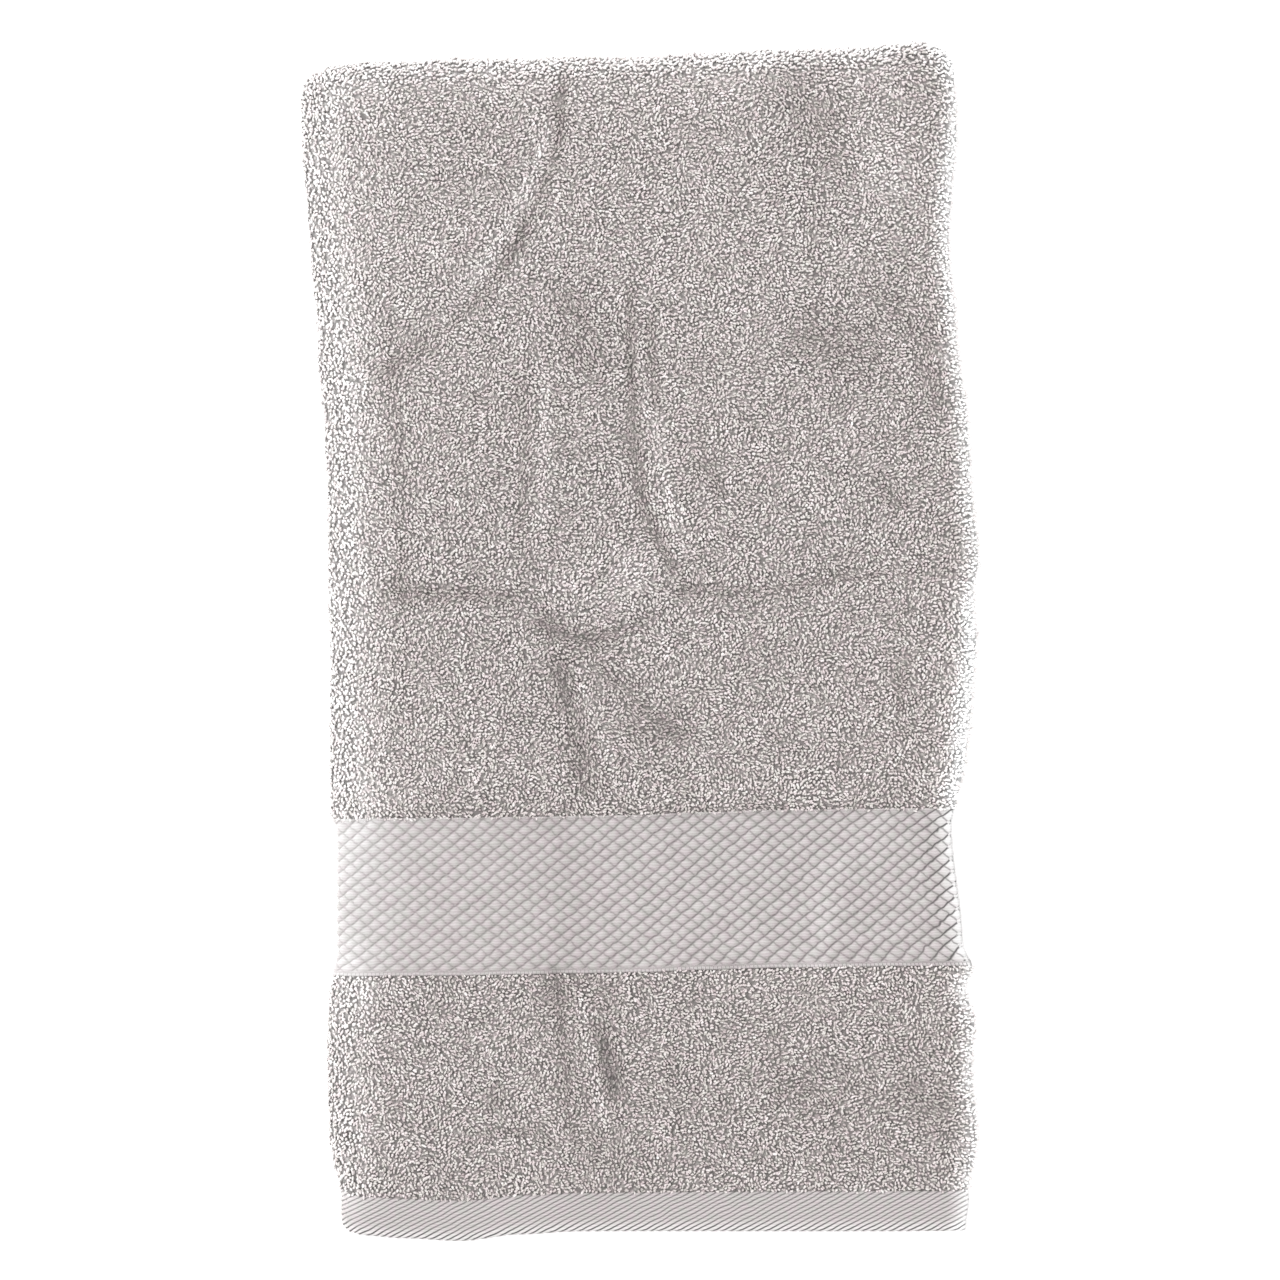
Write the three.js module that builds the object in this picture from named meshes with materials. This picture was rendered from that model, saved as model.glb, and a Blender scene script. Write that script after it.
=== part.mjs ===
// A terry bath towel, folded in half lengthwise and then in half crosswise, lying flat.
//
// Millimetres, +Z up. The origin is the middle of the underside's box. The turned hems lie
// together at the low-Y end and the crosswise fold is at the high-Y end. The two lengthwise
// folds are at the low-X side and the four selvedges at the high-X side.
//
// The towel is one cloth. Each end of it is a pair of panels joined by a lengthwise fold, an
// outer panel and an inner one. The crosswise fold turns the lower pair over into the upper
// pair, so that the outer panel is both the underside and the top.

import * as THREE from "three";

// Folded size
const FOLDED_WIDTH = 381;
const FOLDED_LENGTH = 700;

// Thickness of the cloth, with the loops of both faces where it has pile
const PILE_THICKNESS = 4.8;
const BORDER_THICKNESS = 2.8;
const HEM_THICKNESS = 3.0;
const SELVEDGE_THINNING = 0.3;
const SELVEDGE_WIDTH = 6;

// Heights in the stack of layers
const LAYER_PITCH = 5.7;
const FLAT_PITCH = 5.2;
const PAIR_GAP = 0.9;

// Bands of the cloth, measured up from the hem's edge
const HEM_TOP = 23;
const BORDER_BOTTOM = 159;
const BORDER_TOP = 248;
const PILE_STEP = 3;

// How far the flat-woven bands sink towards the floor, in the lower and the upper pair
const BORDER_SAG = { lower: 1.2, upper: 2.3, run: 18 };
const HEM_SAG = { lower: 1.2, upper: 2.6, run: 45 };

// The lengthwise fold is a flattened nose and the crosswise fold a rounder one
const NOSE_DEPTH = 16;
const NOSE_WALL = 5.4;
const TURN_DEPTH = 14;
const TURN_SLOT = 3;

// Edges of the folded stack at heights y above the hem's edge, from the stack's middle line
const SIDES = [
  { y: 0, left: -175.5, right: 192.0 },
  { y: 18, left: -175.5, right: 194.0 },
  { y: 28, left: -177.0, right: 193.0 },
  { y: 42, left: -181.0, right: 196.5 },
  { y: 55, left: -182.5, right: 198.0 },
  { y: 98, left: -183.5, right: 194.6 },
  { y: 122, left: -183.5, right: 196.4 },
  { y: 145, left: -182.5, right: 190.5 },
  { y: 155, left: -180.5, right: 195.5 },
  { y: 170, left: -177.6, right: 190.0 },
  { y: 240, left: -177.6, right: 183.5 },
  { y: 255, left: -181.8, right: 186.5 },
  { y: 279, left: -182.3, right: 191.7 },
  { y: 311, left: -182.0, right: 194.6 },
  { y: 345, left: -181.8, right: 197.4 },
  { y: 380, left: -182.8, right: 195.6 },
  { y: 393, left: -183.2, right: 198.7 },
  { y: 440, left: -183.6, right: 194.6 },
  { y: 476, left: -185.0, right: 192.3 },
  { y: 530, left: -189.2, right: 185.8 },
  { y: 587, left: -193.4, right: 181.1 },
  { y: 617, left: -195.8, right: 182.9 },
  { y: 652, left: -198.4, right: 185.8 },
  { y: 700, left: -198.8, right: 184.0 },
];

// How far the hem's edge, the border and the crosswise fold lie off their straight lines
const ENDS = [
  { x: -199, hem: 11.5, border: -1.5, fold: -17.0 },
  { x: -194, hem: 11.5, border: -1.5, fold: -12.5 },
  { x: -187, hem: 11.5, border: -1.5, fold: -11.5 },
  { x: -182, hem: 11.5, border: -1.5, fold: -9.0 },
  { x: -177, hem: 10.0, border: -1.5, fold: -8.6 },
  { x: -169, hem: 5.0, border: -1.5, fold: -7.8 },
  { x: -163, hem: 3.5, border: -1.3, fold: -6.3 },
  { x: -140, hem: 1.8, border: -1.0, fold: -6.0 },
  { x: -105, hem: 0.2, border: -0.8, fold: -4.2 },
  { x: -70, hem: 4.0, border: -0.3, fold: -4.4 },
  { x: -35, hem: 5.8, border: 0.3, fold: -3.2 },
  { x: 0, hem: 5.9, border: 0.9, fold: -3.5 },
  { x: 36, hem: 5.9, border: 2.5, fold: -1.0 },
  { x: 83, hem: 5.9, border: 3.8, fold: 0.7 },
  { x: 130, hem: 5.9, border: 4.4, fold: 2.1 },
  { x: 153, hem: 5.9, border: 4.8, fold: 4.2 },
  { x: 165, hem: 6.0, border: 4.8, fold: 5.6 },
  { x: 178, hem: 6.0, border: 4.8, fold: 3.0 },
  { x: 184, hem: 6.2, border: 4.8, fold: -4.0 },
];

// How far each panel's selvedge and hem stay back from the outline
const PANELS = {
  outer: { side: -1, selvedge: { lower: 1.5, upper: 0 }, hem: { lower: 1.5, upper: 0 } },
  inner: { side: 1, selvedge: { lower: 2.5, upper: 4 }, hem: { lower: 3.5, upper: 2.5 } },
};
const LOWER_FOLD_SETBACK = 2;
const SETBACK_RUN = 120;

// Ridges (height over zero) and troughs (height under zero) pressed into the stack. Each follows
// a line through its points and is spread mm wide to either side. taper names the ends at which
// it dies out slowly.
const FORMS = [
  {
    name: "diagonal trough",
    height: -2.0,
    spread: 8,
    taper: "end",
    line: [[-39, 699], [-46, 652], [-58, 613], [-79, 572], [-111, 537], [-149, 504]],
  },
  {
    name: "ridge above the diagonal trough",
    height: 1.1,
    spread: 11,
    taper: "end",
    line: [[-58, 699], [-66, 652], [-82, 611], [-104, 574], [-130, 541]],
  },
  {
    name: "hollow under the diagonal trough",
    height: -0.6,
    spread: 20,
    taper: "both",
    line: [[-23, 693], [-29, 640], [-53, 587], [-82, 546]],
  },
  {
    name: "middle trough",
    height: -1.9,
    spread: 8,
    taper: "both",
    line: [[-7, 566], [-2, 493], [-4, 452], [4, 411], [31, 377]],
  },
  {
    name: "hollow left of the middle trough",
    height: -0.7,
    spread: 20,
    taper: "none",
    line: [[-31, 552], [-35, 505]],
  },
  {
    name: "ridge right of the middle trough",
    height: 1.0,
    spread: 11,
    taper: "both",
    line: [[17, 552], [22, 493], [24, 446], [36, 399]],
  },
  {
    name: "left cross trough",
    height: -1.7,
    spread: 9,
    taper: "end",
    line: [[-182, 383], [-123, 378], [-55, 375]],
  },
  {
    name: "right cross trough",
    height: -1.4,
    spread: 8,
    taper: "none",
    line: [[31, 377], [89, 384], [130, 390], [203, 387]],
  },
  {
    name: "puff between the cross troughs",
    height: 2.0,
    spread: 20,
    taper: "none",
    line: [[-32, 378], [1, 387]],
  },
  {
    name: "trough under the puff",
    height: -1.9,
    spread: 8,
    taper: "none",
    line: [[-58, 363], [-32, 351], [1, 361], [31, 377]],
  },
  {
    name: "trough down to the border",
    height: -1.3,
    spread: 9,
    taper: "end",
    line: [[-49, 352], [-39, 317], [-30, 270], [-16, 245]],
  },
  {
    name: "short slanting trough",
    height: -1.0,
    spread: 8,
    taper: "both",
    line: [[-29, 343], [1, 310], [33, 293]],
  },
  {
    name: "left upright ridge",
    height: 0.8,
    spread: 8,
    taper: "both",
    line: [[-55, 517], [-53, 469], [-57, 399]],
  },
  {
    name: "left upright trough",
    height: -0.9,
    spread: 9,
    taper: "both",
    line: [[-69, 534], [-70, 481], [-77, 422]],
  },
  {
    name: "hollow by the right end of the fold",
    height: -1.1,
    spread: 17,
    taper: "none",
    line: [[108, 687], [105, 631]],
  },
  {
    name: "swell by the right selvedge",
    height: 0.8,
    spread: 22,
    taper: "none",
    line: [[145, 640], [153, 602]],
  },
  {
    name: "right hollow",
    height: -1.2,
    spread: 18,
    taper: "none",
    line: [[103, 534], [124, 521], [156, 493]],
  },
  {
    name: "hollow over the right cross trough",
    height: -0.7,
    spread: 10,
    taper: "none",
    line: [[45, 452], [62, 433]],
  },
  {
    name: "hollow by the right selvedge",
    height: -0.8,
    spread: 10,
    taper: "none",
    line: [[145, 437], [124, 396]],
  },
  {
    name: "swell under the right cross trough",
    height: 0.7,
    spread: 30,
    taper: "none",
    line: [[71, 346], [118, 340]],
  },
  {
    name: "low hollow by the right selvedge",
    height: -0.8,
    spread: 12,
    taper: "none",
    line: [[155, 340], [162, 267]],
  },
  {
    name: "swell under the left cross trough",
    height: 0.7,
    spread: 28,
    taper: "none",
    line: [[-111, 328], [-105, 299]],
  },
  {
    name: "swell in the border",
    height: 0.6,
    spread: 12,
    taper: "none",
    line: [[119, 245], [113, 164]],
  },
  {
    name: "left trough in the lower band",
    height: -0.9,
    spread: 8,
    taper: "end",
    line: [[-46, 159], [-41, 105], [-38, 43]],
  },
  {
    name: "ridge in the lower band",
    height: 1.2,
    spread: 8,
    taper: "end",
    line: [[-33, 149], [-29, 117], [-21, 64]],
  },
  {
    name: "hollow in the lower band",
    height: -1.6,
    spread: 8,
    taper: "none",
    line: [[-21, 117], [-15, 83]],
  },
  {
    name: "curved hollow over the hem",
    height: -0.7,
    spread: 9,
    taper: "both",
    line: [[-93, 38], [-79, 58], [-46, 65]],
  },
  {
    name: "right hollow in the lower band",
    height: -0.8,
    spread: 16,
    taper: "none",
    line: [[95, 88], [168, 90]],
  },
  {
    name: "groove along the left folds",
    height: -1.3,
    spread: 10,
    taper: "both",
    line: [[-176, 593], [-160, 522], [-151, 446], [-149, 352], [-151, 258]],
  },
  {
    name: "crown of the left folds",
    height: 0.9,
    spread: 12,
    taper: "none",
    line: [[-184, 700], [-178, 600], [-170, 480], [-166, 300], [-163, 0]],
  },
  {
    name: "crown of the crosswise fold",
    height: 1.0,
    spread: 14,
    taper: "none",
    line: [[-190, 672], [0, 680], [190, 686]],
  },
  {
    name: "droop of the selvedges",
    height: -1.6,
    spread: 12,
    taper: "none",
    line: [[186, 700], [184, 590], [197, 470], [199, 350], [190, 230], [198, 60], [196, 0]],
  },
];

// Share of a form's line over which it dies out at a tapered end
const TAPER_SHARE = 0.35;

// Grid lines across the cloth: steps in each flat panel and round half a lengthwise fold
const FINE_ACROSS = { outer: 40, outerNose: 5, innerNose: 3, inner: 5 };
const COARSE_ACROSS = { outer: 7, outerNose: 3, innerNose: 3, inner: 7 };

// Grid lines along the cloth: steps in each band of each half and round the crosswise fold
const FINE_ALONG = {
  lower: { hem: 1, band: 3, border: 2, field: 6 },
  turn: 10,
  upper: { hem: 3, band: 12, border: 8, field: 39 },
};
const COARSE_ALONG = {
  lower: { hem: 1, band: 2, border: 2, field: 4 },
  turn: 6,
  upper: { hem: 1, band: 2, border: 2, field: 8 },
};

// The coarse grid of the cloth's inner face stops this far short of the edges
const COARSE_MARGIN = 6;

const { clamp, lerp, smoothstep } = THREE.MathUtils;

// The first pair's middle, the height about which the crosswise fold turns, and the whole stack
const PAIR_MIDDLE = (LAYER_PITCH + PILE_THICKNESS) / 2;
const TURN_HEIGHT = 2 * PAIR_MIDDLE + PAIR_GAP / 2;
const STACK_HEIGHT = 2 * TURN_HEIGHT;
const TURN_START = FOLDED_LENGTH - TURN_DEPTH;

/** A column of a table at one place, eased between its rows. */
function readTable(table, key, at, column) {
  const next = table.findIndex((row) => row[key] >= at);
  if (next === 0) return table[0][column];
  if (next < 0) return table[table.length - 1][column];
  const before = table[next - 1];
  const after = table[next];
  return lerp(before[column], after[column], smoothstep(at, before[key], after[key]));
}

/** 0 outside a band of the cloth, 1 inside, with a ramp of the given run about each end. */
function inBand(y, bottom, top, run) {
  return (
    smoothstep(y, bottom - run / 2, bottom + run / 2) *
    (1 - smoothstep(y, top - run / 2, top + run / 2))
  );
}

/** Thickness of the cloth, height between layers, and each pair's sag at a height y. */
function clothAt(y) {
  const hem = 1 - smoothstep(y, HEM_TOP - PILE_STEP / 2, HEM_TOP + PILE_STEP / 2);
  const border = inBand(y, BORDER_BOTTOM, BORDER_TOP, PILE_STEP);
  const hemSag = 1 - smoothstep(y, 0, HEM_SAG.run);
  const middle = (BORDER_BOTTOM + BORDER_TOP) / 2;
  const reach = (BORDER_TOP - BORDER_BOTTOM) / 2 + BORDER_SAG.run;
  const borderSag = 1 - smoothstep(Math.abs(y - middle), 0, reach);
  return {
    thickness:
      PILE_THICKNESS +
      hem * (HEM_THICKNESS - PILE_THICKNESS) +
      border * (BORDER_THICKNESS - PILE_THICKNESS),
    pitch: lerp(LAYER_PITCH, FLAT_PITCH, Math.max(hem, border)),
    lowerSag: hemSag * HEM_SAG.lower + borderSag * BORDER_SAG.lower,
    upperSag: hemSag * HEM_SAG.upper + borderSag * BORDER_SAG.upper,
  };
}

/** How far the cloth is moved along Y at a place, so that its ends and border lie off square. */
function endShift(x, y) {
  const border = readTable(ENDS, "x", x, "border");
  const borderMiddle = (BORDER_BOTTOM + BORDER_TOP) / 2;
  if (y < borderMiddle) {
    const share = (1 - y / borderMiddle) ** 2;
    return lerp(border, readTable(ENDS, "x", x, "hem"), share);
  }
  const share = ((y - borderMiddle) / (FOLDED_LENGTH - borderMiddle)) ** 3;
  return lerp(border, readTable(ENDS, "x", x, "fold"), share);
}

/** Distance from a place to a line through points, and the share of the line passed there. */
function nearestOnLine(line, x, y) {
  const lengths = line.slice(1).map(([bx, by], k) => Math.hypot(bx - line[k][0], by - line[k][1]));
  const total = lengths.reduce((sum, length) => sum + length, 0);
  let passed = 0;
  let best = { distance: Infinity, share: 0 };
  lengths.forEach((length, k) => {
    const [ax, ay] = line[k];
    const [bx, by] = line[k + 1];
    const along = clamp(((x - ax) * (bx - ax) + (y - ay) * (by - ay)) / length ** 2, 0, 1);
    const distance = Math.hypot(x - lerp(ax, bx, along), y - lerp(ay, by, along));
    if (distance < best.distance) best = { distance, share: (passed + along * length) / total };
    passed += length;
  });
  return best;
}

/** Height of all ridges and troughs together at a place on top of the stack. */
function reliefAt(x, y) {
  return FORMS.reduce((sum, form) => {
    const { distance, share } = nearestOnLine(form.line, x, y);
    const tapersFirst = form.taper === "start" || form.taper === "both";
    const tapersLast = form.taper === "end" || form.taper === "both";
    const first = tapersFirst ? smoothstep(share, 0, TAPER_SHARE) : 1;
    const last = tapersLast ? 1 - smoothstep(share, 1 - TAPER_SHARE, 1) : 1;
    return sum + form.height * first * last * Math.exp(-((distance / form.spread) ** 2));
  }, 0);
}

/**
 * A point on the cloth. across gives the panel, the angle round the lengthwise fold (a right
 * angle where the panel is flat) and the share of the flat panel passed. along gives the height
 * y above the hem's edge and the angle round the crosswise fold. isOuter picks the cloth's face.
 */
function clothPoint(across, along, isOuter) {
  const cloth = clothAt(along.y);
  const panel = PANELS[across.panel];
  const turned = smoothstep(along.angle, 0, Math.PI);
  const selvedge = smoothstep(across.share, 1 - SELVEDGE_WIDTH / FOLDED_WIDTH, 1);
  const thickness = cloth.thickness * (1 - SELVEDGE_THINNING * selvedge);
  const halfHeight = (cloth.pitch + (isOuter ? thickness : -thickness)) / 2;
  const wall = isOuter ? 0 : NOSE_WALL;

  const fromEdge =
    wall +
    (NOSE_DEPTH - wall) * (1 - Math.cos(across.angle)) +
    (FOLDED_WIDTH - NOSE_DEPTH) * across.share;
  const f = fromEdge / FOLDED_WIDTH;
  const left = readTable(SIDES, "y", along.y, "left") + lerp(LOWER_FOLD_SETBACK, 0, turned);
  const right =
    readTable(SIDES, "y", along.y, "right") -
    lerp(panel.selvedge.lower, panel.selvedge.upper, turned) * smoothstep(f, 0.5, 1);
  const x = lerp(left, right, f);

  const height = PAIR_MIDDLE + panel.side * halfHeight * Math.sin(across.angle);
  const reach = TURN_HEIGHT - height;
  const turnDepth = lerp(TURN_SLOT, TURN_DEPTH, reach / TURN_HEIGHT);
  const hemSetback = lerp(panel.hem.lower, panel.hem.upper, turned) * smoothstep(f, 0, 0.2);
  const straightY =
    along.y +
    turnDepth * Math.sin(along.angle) +
    hemSetback * (1 - smoothstep(along.y, 0, SETBACK_RUN));
  const y = straightY + endShift(x, straightY);

  const sag = lerp(cloth.lowerSag, cloth.upperSag, turned);
  const straightZ = Math.max(0, TURN_HEIGHT - reach * Math.cos(along.angle) - sag);
  const z = straightZ + reliefAt(x, y) * (straightZ / STACK_HEIGHT) ** 3;
  return [x, y, z];
}

/** Evenly spaced numbers after start, up to and with end. */
function steps(start, end, count) {
  return Array.from({ length: count }, (_, k) => lerp(start, end, (k + 1) / count));
}

/** Grid lines across the cloth, from the outer panel's selvedge to the inner panel's. */
function linesAcross(counts, margin) {
  const line = (panel, angle, share) => ({
    panel,
    angle,
    share,
    place: PANELS[panel].side * (angle * NOSE_DEPTH + share * FOLDED_WIDTH),
  });
  const flat = (panel, share) => line(panel, Math.PI / 2, share);
  const edge = 1 - margin / FOLDED_WIDTH;
  return [
    flat("outer", edge),
    ...steps(edge, 0, counts.outer).map((share) => flat("outer", share)),
    ...steps(Math.PI / 2, 0, counts.outerNose).map((angle) => line("outer", angle, 0)),
    ...steps(0, Math.PI / 2, counts.innerNose).map((angle) => line("inner", angle, 0)),
    ...steps(0, edge, counts.inner).map((share) => flat("inner", share)),
  ];
}

/** Heights y of the grid lines in one half, from the hem's edge to the crosswise fold. */
function heights(counts, margin) {
  const half = PILE_STEP / 2;
  return [
    margin,
    ...steps(margin, HEM_TOP - half, counts.hem),
    HEM_TOP + half,
    ...steps(HEM_TOP + half, BORDER_BOTTOM - half, counts.band),
    BORDER_BOTTOM + half,
    ...steps(BORDER_BOTTOM + half, BORDER_TOP - half, counts.border),
    BORDER_TOP + half,
    ...steps(BORDER_TOP + half, TURN_START, counts.field),
  ];
}

/** Grid lines along the cloth: up the lower half, round the crosswise fold, down the upper. */
function linesAlong(counts, margin) {
  const station = (y, angle, side) => ({
    y,
    angle,
    place: side * (TURN_START - y) + (angle - Math.PI / 2) * TURN_DEPTH,
  });
  return [
    ...heights(counts.lower, margin).map((y) => station(y, 0, -1)),
    ...steps(0, Math.PI, counts.turn).slice(0, -1).map((angle) => station(TURN_START, angle, 0)),
    ...heights(counts.upper, margin).reverse().map((y) => station(y, Math.PI, 1)),
  ];
}

/**
 * The rim of a grid in order, as the column i and row j of each point. way counts the sides
 * passed, so that the rims of two grids over one cloth match wherever their lines lie.
 */
function gridRim(across, along) {
  const share = (lines, k) =>
    (lines[k].place - lines[0].place) / (lines[lines.length - 1].place - lines[0].place);
  const lastI = across.length - 1;
  const lastJ = along.length - 1;
  const rim = [];
  for (let i = 0; i < lastI; i++) rim.push({ i, j: 0, way: share(across, i) });
  for (let j = 0; j < lastJ; j++) rim.push({ i: lastI, j, way: 1 + share(along, j) });
  for (let i = lastI; i > 0; i--) rim.push({ i, j: lastJ, way: 3 - share(across, i) });
  for (let j = lastJ; j > 0; j--) rim.push({ i: 0, j, way: 4 - share(along, j) });
  rim.push({ i: 0, j: 0, way: 4 });
  return rim;
}

/**
 * One face of the cloth as a grid of points, its triangles, and the indices of its rim. Each
 * quad is cut along its more level diagonal, so that slanting forms come out smooth.
 */
function clothFace(across, along, isOuter, firstIndex) {
  const columns = across.length;
  const at = (i, j) => firstIndex + j * columns + i;
  const points = along.flatMap((station) =>
    across.flatMap((line) => clothPoint(line, station, isOuter)),
  );
  const heightOf = (index) => points[3 * (index - firstIndex) + 2];
  const rise = (a, b) => Math.abs(heightOf(a) - heightOf(b));
  const triangles = [];
  for (let j = 0; j < along.length - 1; j++) {
    for (let i = 0; i < columns - 1; i++) {
      const quad = [at(i, j), at(i + 1, j), at(i + 1, j + 1), at(i, j + 1)];
      if (!isOuter) quad.reverse();
      const [a, b, c, d] = quad;
      if (rise(a, c) <= rise(b, d)) triangles.push(a, b, c, a, c, d);
      else triangles.push(a, b, d, b, c, d);
    }
  }
  const rim = gridRim(across, along).map(({ i, j, way }) => ({ index: at(i, j), way }));
  return { points, triangles, rim };
}

/** The rim of the cloth's inner face alone, with a point for each point of the fine grid's rim. */
function innerEdge(across, along, firstIndex) {
  const rim = gridRim(across, along);
  const open = rim.slice(0, -1);
  return {
    points: open.flatMap(({ i, j }) => clothPoint(across[i], along[j], false)),
    rim: rim.map(({ way }, k) => ({ index: firstIndex + (k % open.length), way })),
  };
}

/** Triangles of the strip between two rims, the first of which lies on the strip's right. */
function stripTriangles(rightRim, leftRim) {
  const triangles = [];
  let r = 0;
  let l = 0;
  while (r < rightRim.length - 1 || l < leftRim.length - 1) {
    const nextRight = rightRim[r + 1]?.way ?? Infinity;
    const nextLeft = leftRim[l + 1]?.way ?? Infinity;
    if (nextRight <= nextLeft) {
      triangles.push(rightRim[r].index, rightRim[r + 1].index, leftRim[l].index);
      r += 1;
    } else {
      triangles.push(rightRim[r].index, leftRim[l + 1].index, leftRim[l].index);
      l += 1;
    }
  }
  return triangles;
}

/**
 * The whole folded cloth as one closed surface, its origin under the middle of its box. The
 * outer face is a fine grid. The inner face is a coarse one, inside an edge as fine as the
 * outer face's.
 */
function foldedCloth() {
  const across = linesAcross(FINE_ACROSS, 0);
  const along = linesAlong(FINE_ALONG, 0);
  const outer = clothFace(across, along, true, 0);
  const edge = innerEdge(across, along, outer.points.length / 3);
  const inner = clothFace(
    linesAcross(COARSE_ACROSS, COARSE_MARGIN),
    linesAlong(COARSE_ALONG, COARSE_MARGIN),
    false,
    (outer.points.length + edge.points.length) / 3,
  );

  const geometry = new THREE.BufferGeometry();
  const points = [...outer.points, ...edge.points, ...inner.points];
  geometry.setAttribute("position", new THREE.Float32BufferAttribute(points, 3));
  geometry.setIndex([
    ...outer.triangles,
    ...stripTriangles(edge.rim, outer.rim),
    ...stripTriangles(inner.rim, edge.rim),
    ...inner.triangles,
  ]);
  geometry.computeBoundingBox();
  const { min, max } = geometry.boundingBox;
  geometry.translate(-(min.x + max.x) / 2, -(min.y + max.y) / 2, -min.z);
  geometry.computeVertexNormals();
  return geometry;
}

/** Warm light grey cotton. */
function terryCotton() {
  return new THREE.MeshStandardMaterial({ color: 0xb5aeac, roughness: 0.95, metalness: 0 });
}

const towel = new THREE.Mesh(foldedCloth(), terryCotton());
towel.name = "towel";

const foldedBathTowel = new THREE.Group();
foldedBathTowel.add(towel);

export default foldedBathTowel;
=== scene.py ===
"""Looks of a folded terry bath towel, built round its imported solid.

The towel is one cloth, folded in half lengthwise and then in half crosswise. A place on it is
given by two numbers. u is the way across the cloth from the tip of the lengthwise fold, over zero
on the outer panel and under zero on the inner one. v is the way along the cloth from the apex of
the crosswise fold, over zero in the upper pair of layers and under zero in the lower pair.

Sizes are in millimetres, and meshes in metres. The X axis runs from the lengthwise folds to the
selvedges, Y from the hems to the crosswise fold, and Z up.
"""

import logging
import math
from dataclasses import dataclass, field
from enum import Enum
from typing import Callable, NamedTuple, Sequence

import bpy
import numpy as np
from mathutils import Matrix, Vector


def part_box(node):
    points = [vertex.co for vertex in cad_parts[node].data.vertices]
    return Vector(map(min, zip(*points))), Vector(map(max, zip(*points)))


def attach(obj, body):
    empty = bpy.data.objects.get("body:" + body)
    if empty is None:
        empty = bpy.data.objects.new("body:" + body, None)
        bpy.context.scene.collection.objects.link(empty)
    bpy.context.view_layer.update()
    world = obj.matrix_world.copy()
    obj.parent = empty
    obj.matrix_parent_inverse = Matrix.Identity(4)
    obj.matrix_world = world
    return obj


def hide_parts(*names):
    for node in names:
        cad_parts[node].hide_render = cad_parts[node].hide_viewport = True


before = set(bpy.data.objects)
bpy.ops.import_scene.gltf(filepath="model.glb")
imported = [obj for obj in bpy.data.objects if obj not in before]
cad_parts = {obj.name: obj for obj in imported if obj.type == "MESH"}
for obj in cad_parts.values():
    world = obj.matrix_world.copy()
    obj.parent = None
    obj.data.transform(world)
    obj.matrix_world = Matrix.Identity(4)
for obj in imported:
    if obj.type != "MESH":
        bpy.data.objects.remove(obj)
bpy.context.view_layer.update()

LOG = logging.getLogger("towel")
METRE = 1000.0
CENTIMETRE = 10.0
TINY = 1e-9
WHITE = (1.0, 1.0, 1.0, 1.0)
BODY = "root"
NODE = "towel"

Array = np.ndarray
Colour = tuple[float, float, float, float]


class Taper(Enum):
    """Ends of a crease at which it dies out slowly."""

    NONE = "none"
    START = "start"
    END = "end"
    BOTH = "both"

    def at_start(self) -> bool:
        """Whether the crease dies out at its first point."""
        return self in (Taper.START, Taper.BOTH)

    def at_end(self) -> bool:
        """Whether the crease dies out at its last point."""
        return self in (Taper.END, Taper.BOTH)


class Side(NamedTuple):
    """Edges of the folded stack at a height y above the hem's edge, from its middle line."""

    y: float
    left: float
    right: float


class End(NamedTuple):
    """How far the hem's edge, the border and the crosswise fold lie off their straight lines."""

    x: float
    hem: float
    border: float
    fold: float


class Sag(NamedTuple):
    """How far a flat-woven band sinks in the lower and the upper pair, and over what run."""

    lower: float
    upper: float
    run: float


class Setback(NamedTuple):
    """How far a panel's selvedge and hem stay back from the outline, in both pairs."""

    selvedge_lower: float
    selvedge_upper: float
    hem_lower: float
    hem_upper: float


SIDES = (
    Side(0, -175.5, 192.0),
    Side(18, -175.5, 194.0),
    Side(28, -177.0, 193.0),
    Side(42, -181.0, 196.5),
    Side(55, -182.5, 198.0),
    Side(98, -183.5, 194.6),
    Side(122, -183.5, 196.4),
    Side(145, -182.5, 190.5),
    Side(155, -180.5, 195.5),
    Side(170, -177.6, 190.0),
    Side(240, -177.6, 183.5),
    Side(255, -181.8, 186.5),
    Side(279, -182.3, 191.7),
    Side(311, -182.0, 194.6),
    Side(345, -181.8, 197.4),
    Side(380, -182.8, 195.6),
    Side(393, -183.2, 198.7),
    Side(440, -183.6, 194.6),
    Side(476, -185.0, 192.3),
    Side(530, -189.2, 185.8),
    Side(587, -193.4, 181.1),
    Side(617, -195.8, 182.9),
    Side(652, -198.4, 185.8),
    Side(700, -198.8, 184.0),
)

ENDS = (
    End(-199, 11.5, -1.5, -17.0),
    End(-194, 11.5, -1.5, -12.5),
    End(-187, 11.5, -1.5, -11.5),
    End(-182, 11.5, -1.5, -9.0),
    End(-177, 10.0, -1.5, -8.6),
    End(-169, 5.0, -1.5, -7.8),
    End(-163, 3.5, -1.3, -6.3),
    End(-140, 1.8, -1.0, -6.0),
    End(-105, 0.2, -0.8, -4.2),
    End(-70, 4.0, -0.3, -4.4),
    End(-35, 5.8, 0.3, -3.2),
    End(0, 5.9, 0.9, -3.5),
    End(36, 5.9, 2.5, -1.0),
    End(83, 5.9, 3.8, 0.7),
    End(130, 5.9, 4.4, 2.1),
    End(153, 5.9, 4.8, 4.2),
    End(165, 6.0, 4.8, 5.6),
    End(178, 6.0, 4.8, 3.0),
    End(184, 6.2, 4.8, -4.0),
)

OUTER_PANEL = Setback(1.5, 0.0, 1.5, 0.0)
INNER_PANEL = Setback(2.5, 4.0, 3.5, 2.5)


def lerp(start: Array, end: Array, share: Array) -> Array:
    """The value at a share of the way from start to end."""
    return start + (end - start) * share


def smoothstep(x: Array, low: float, high: float) -> Array:
    """Ease from 0 at low to 1 at high: t^2 (3 - 2 t), with t the share of the way passed."""
    t = np.clip((x - low) / (high - low), 0.0, 1.0)
    return t * t * (3.0 - 2.0 * t)


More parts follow.
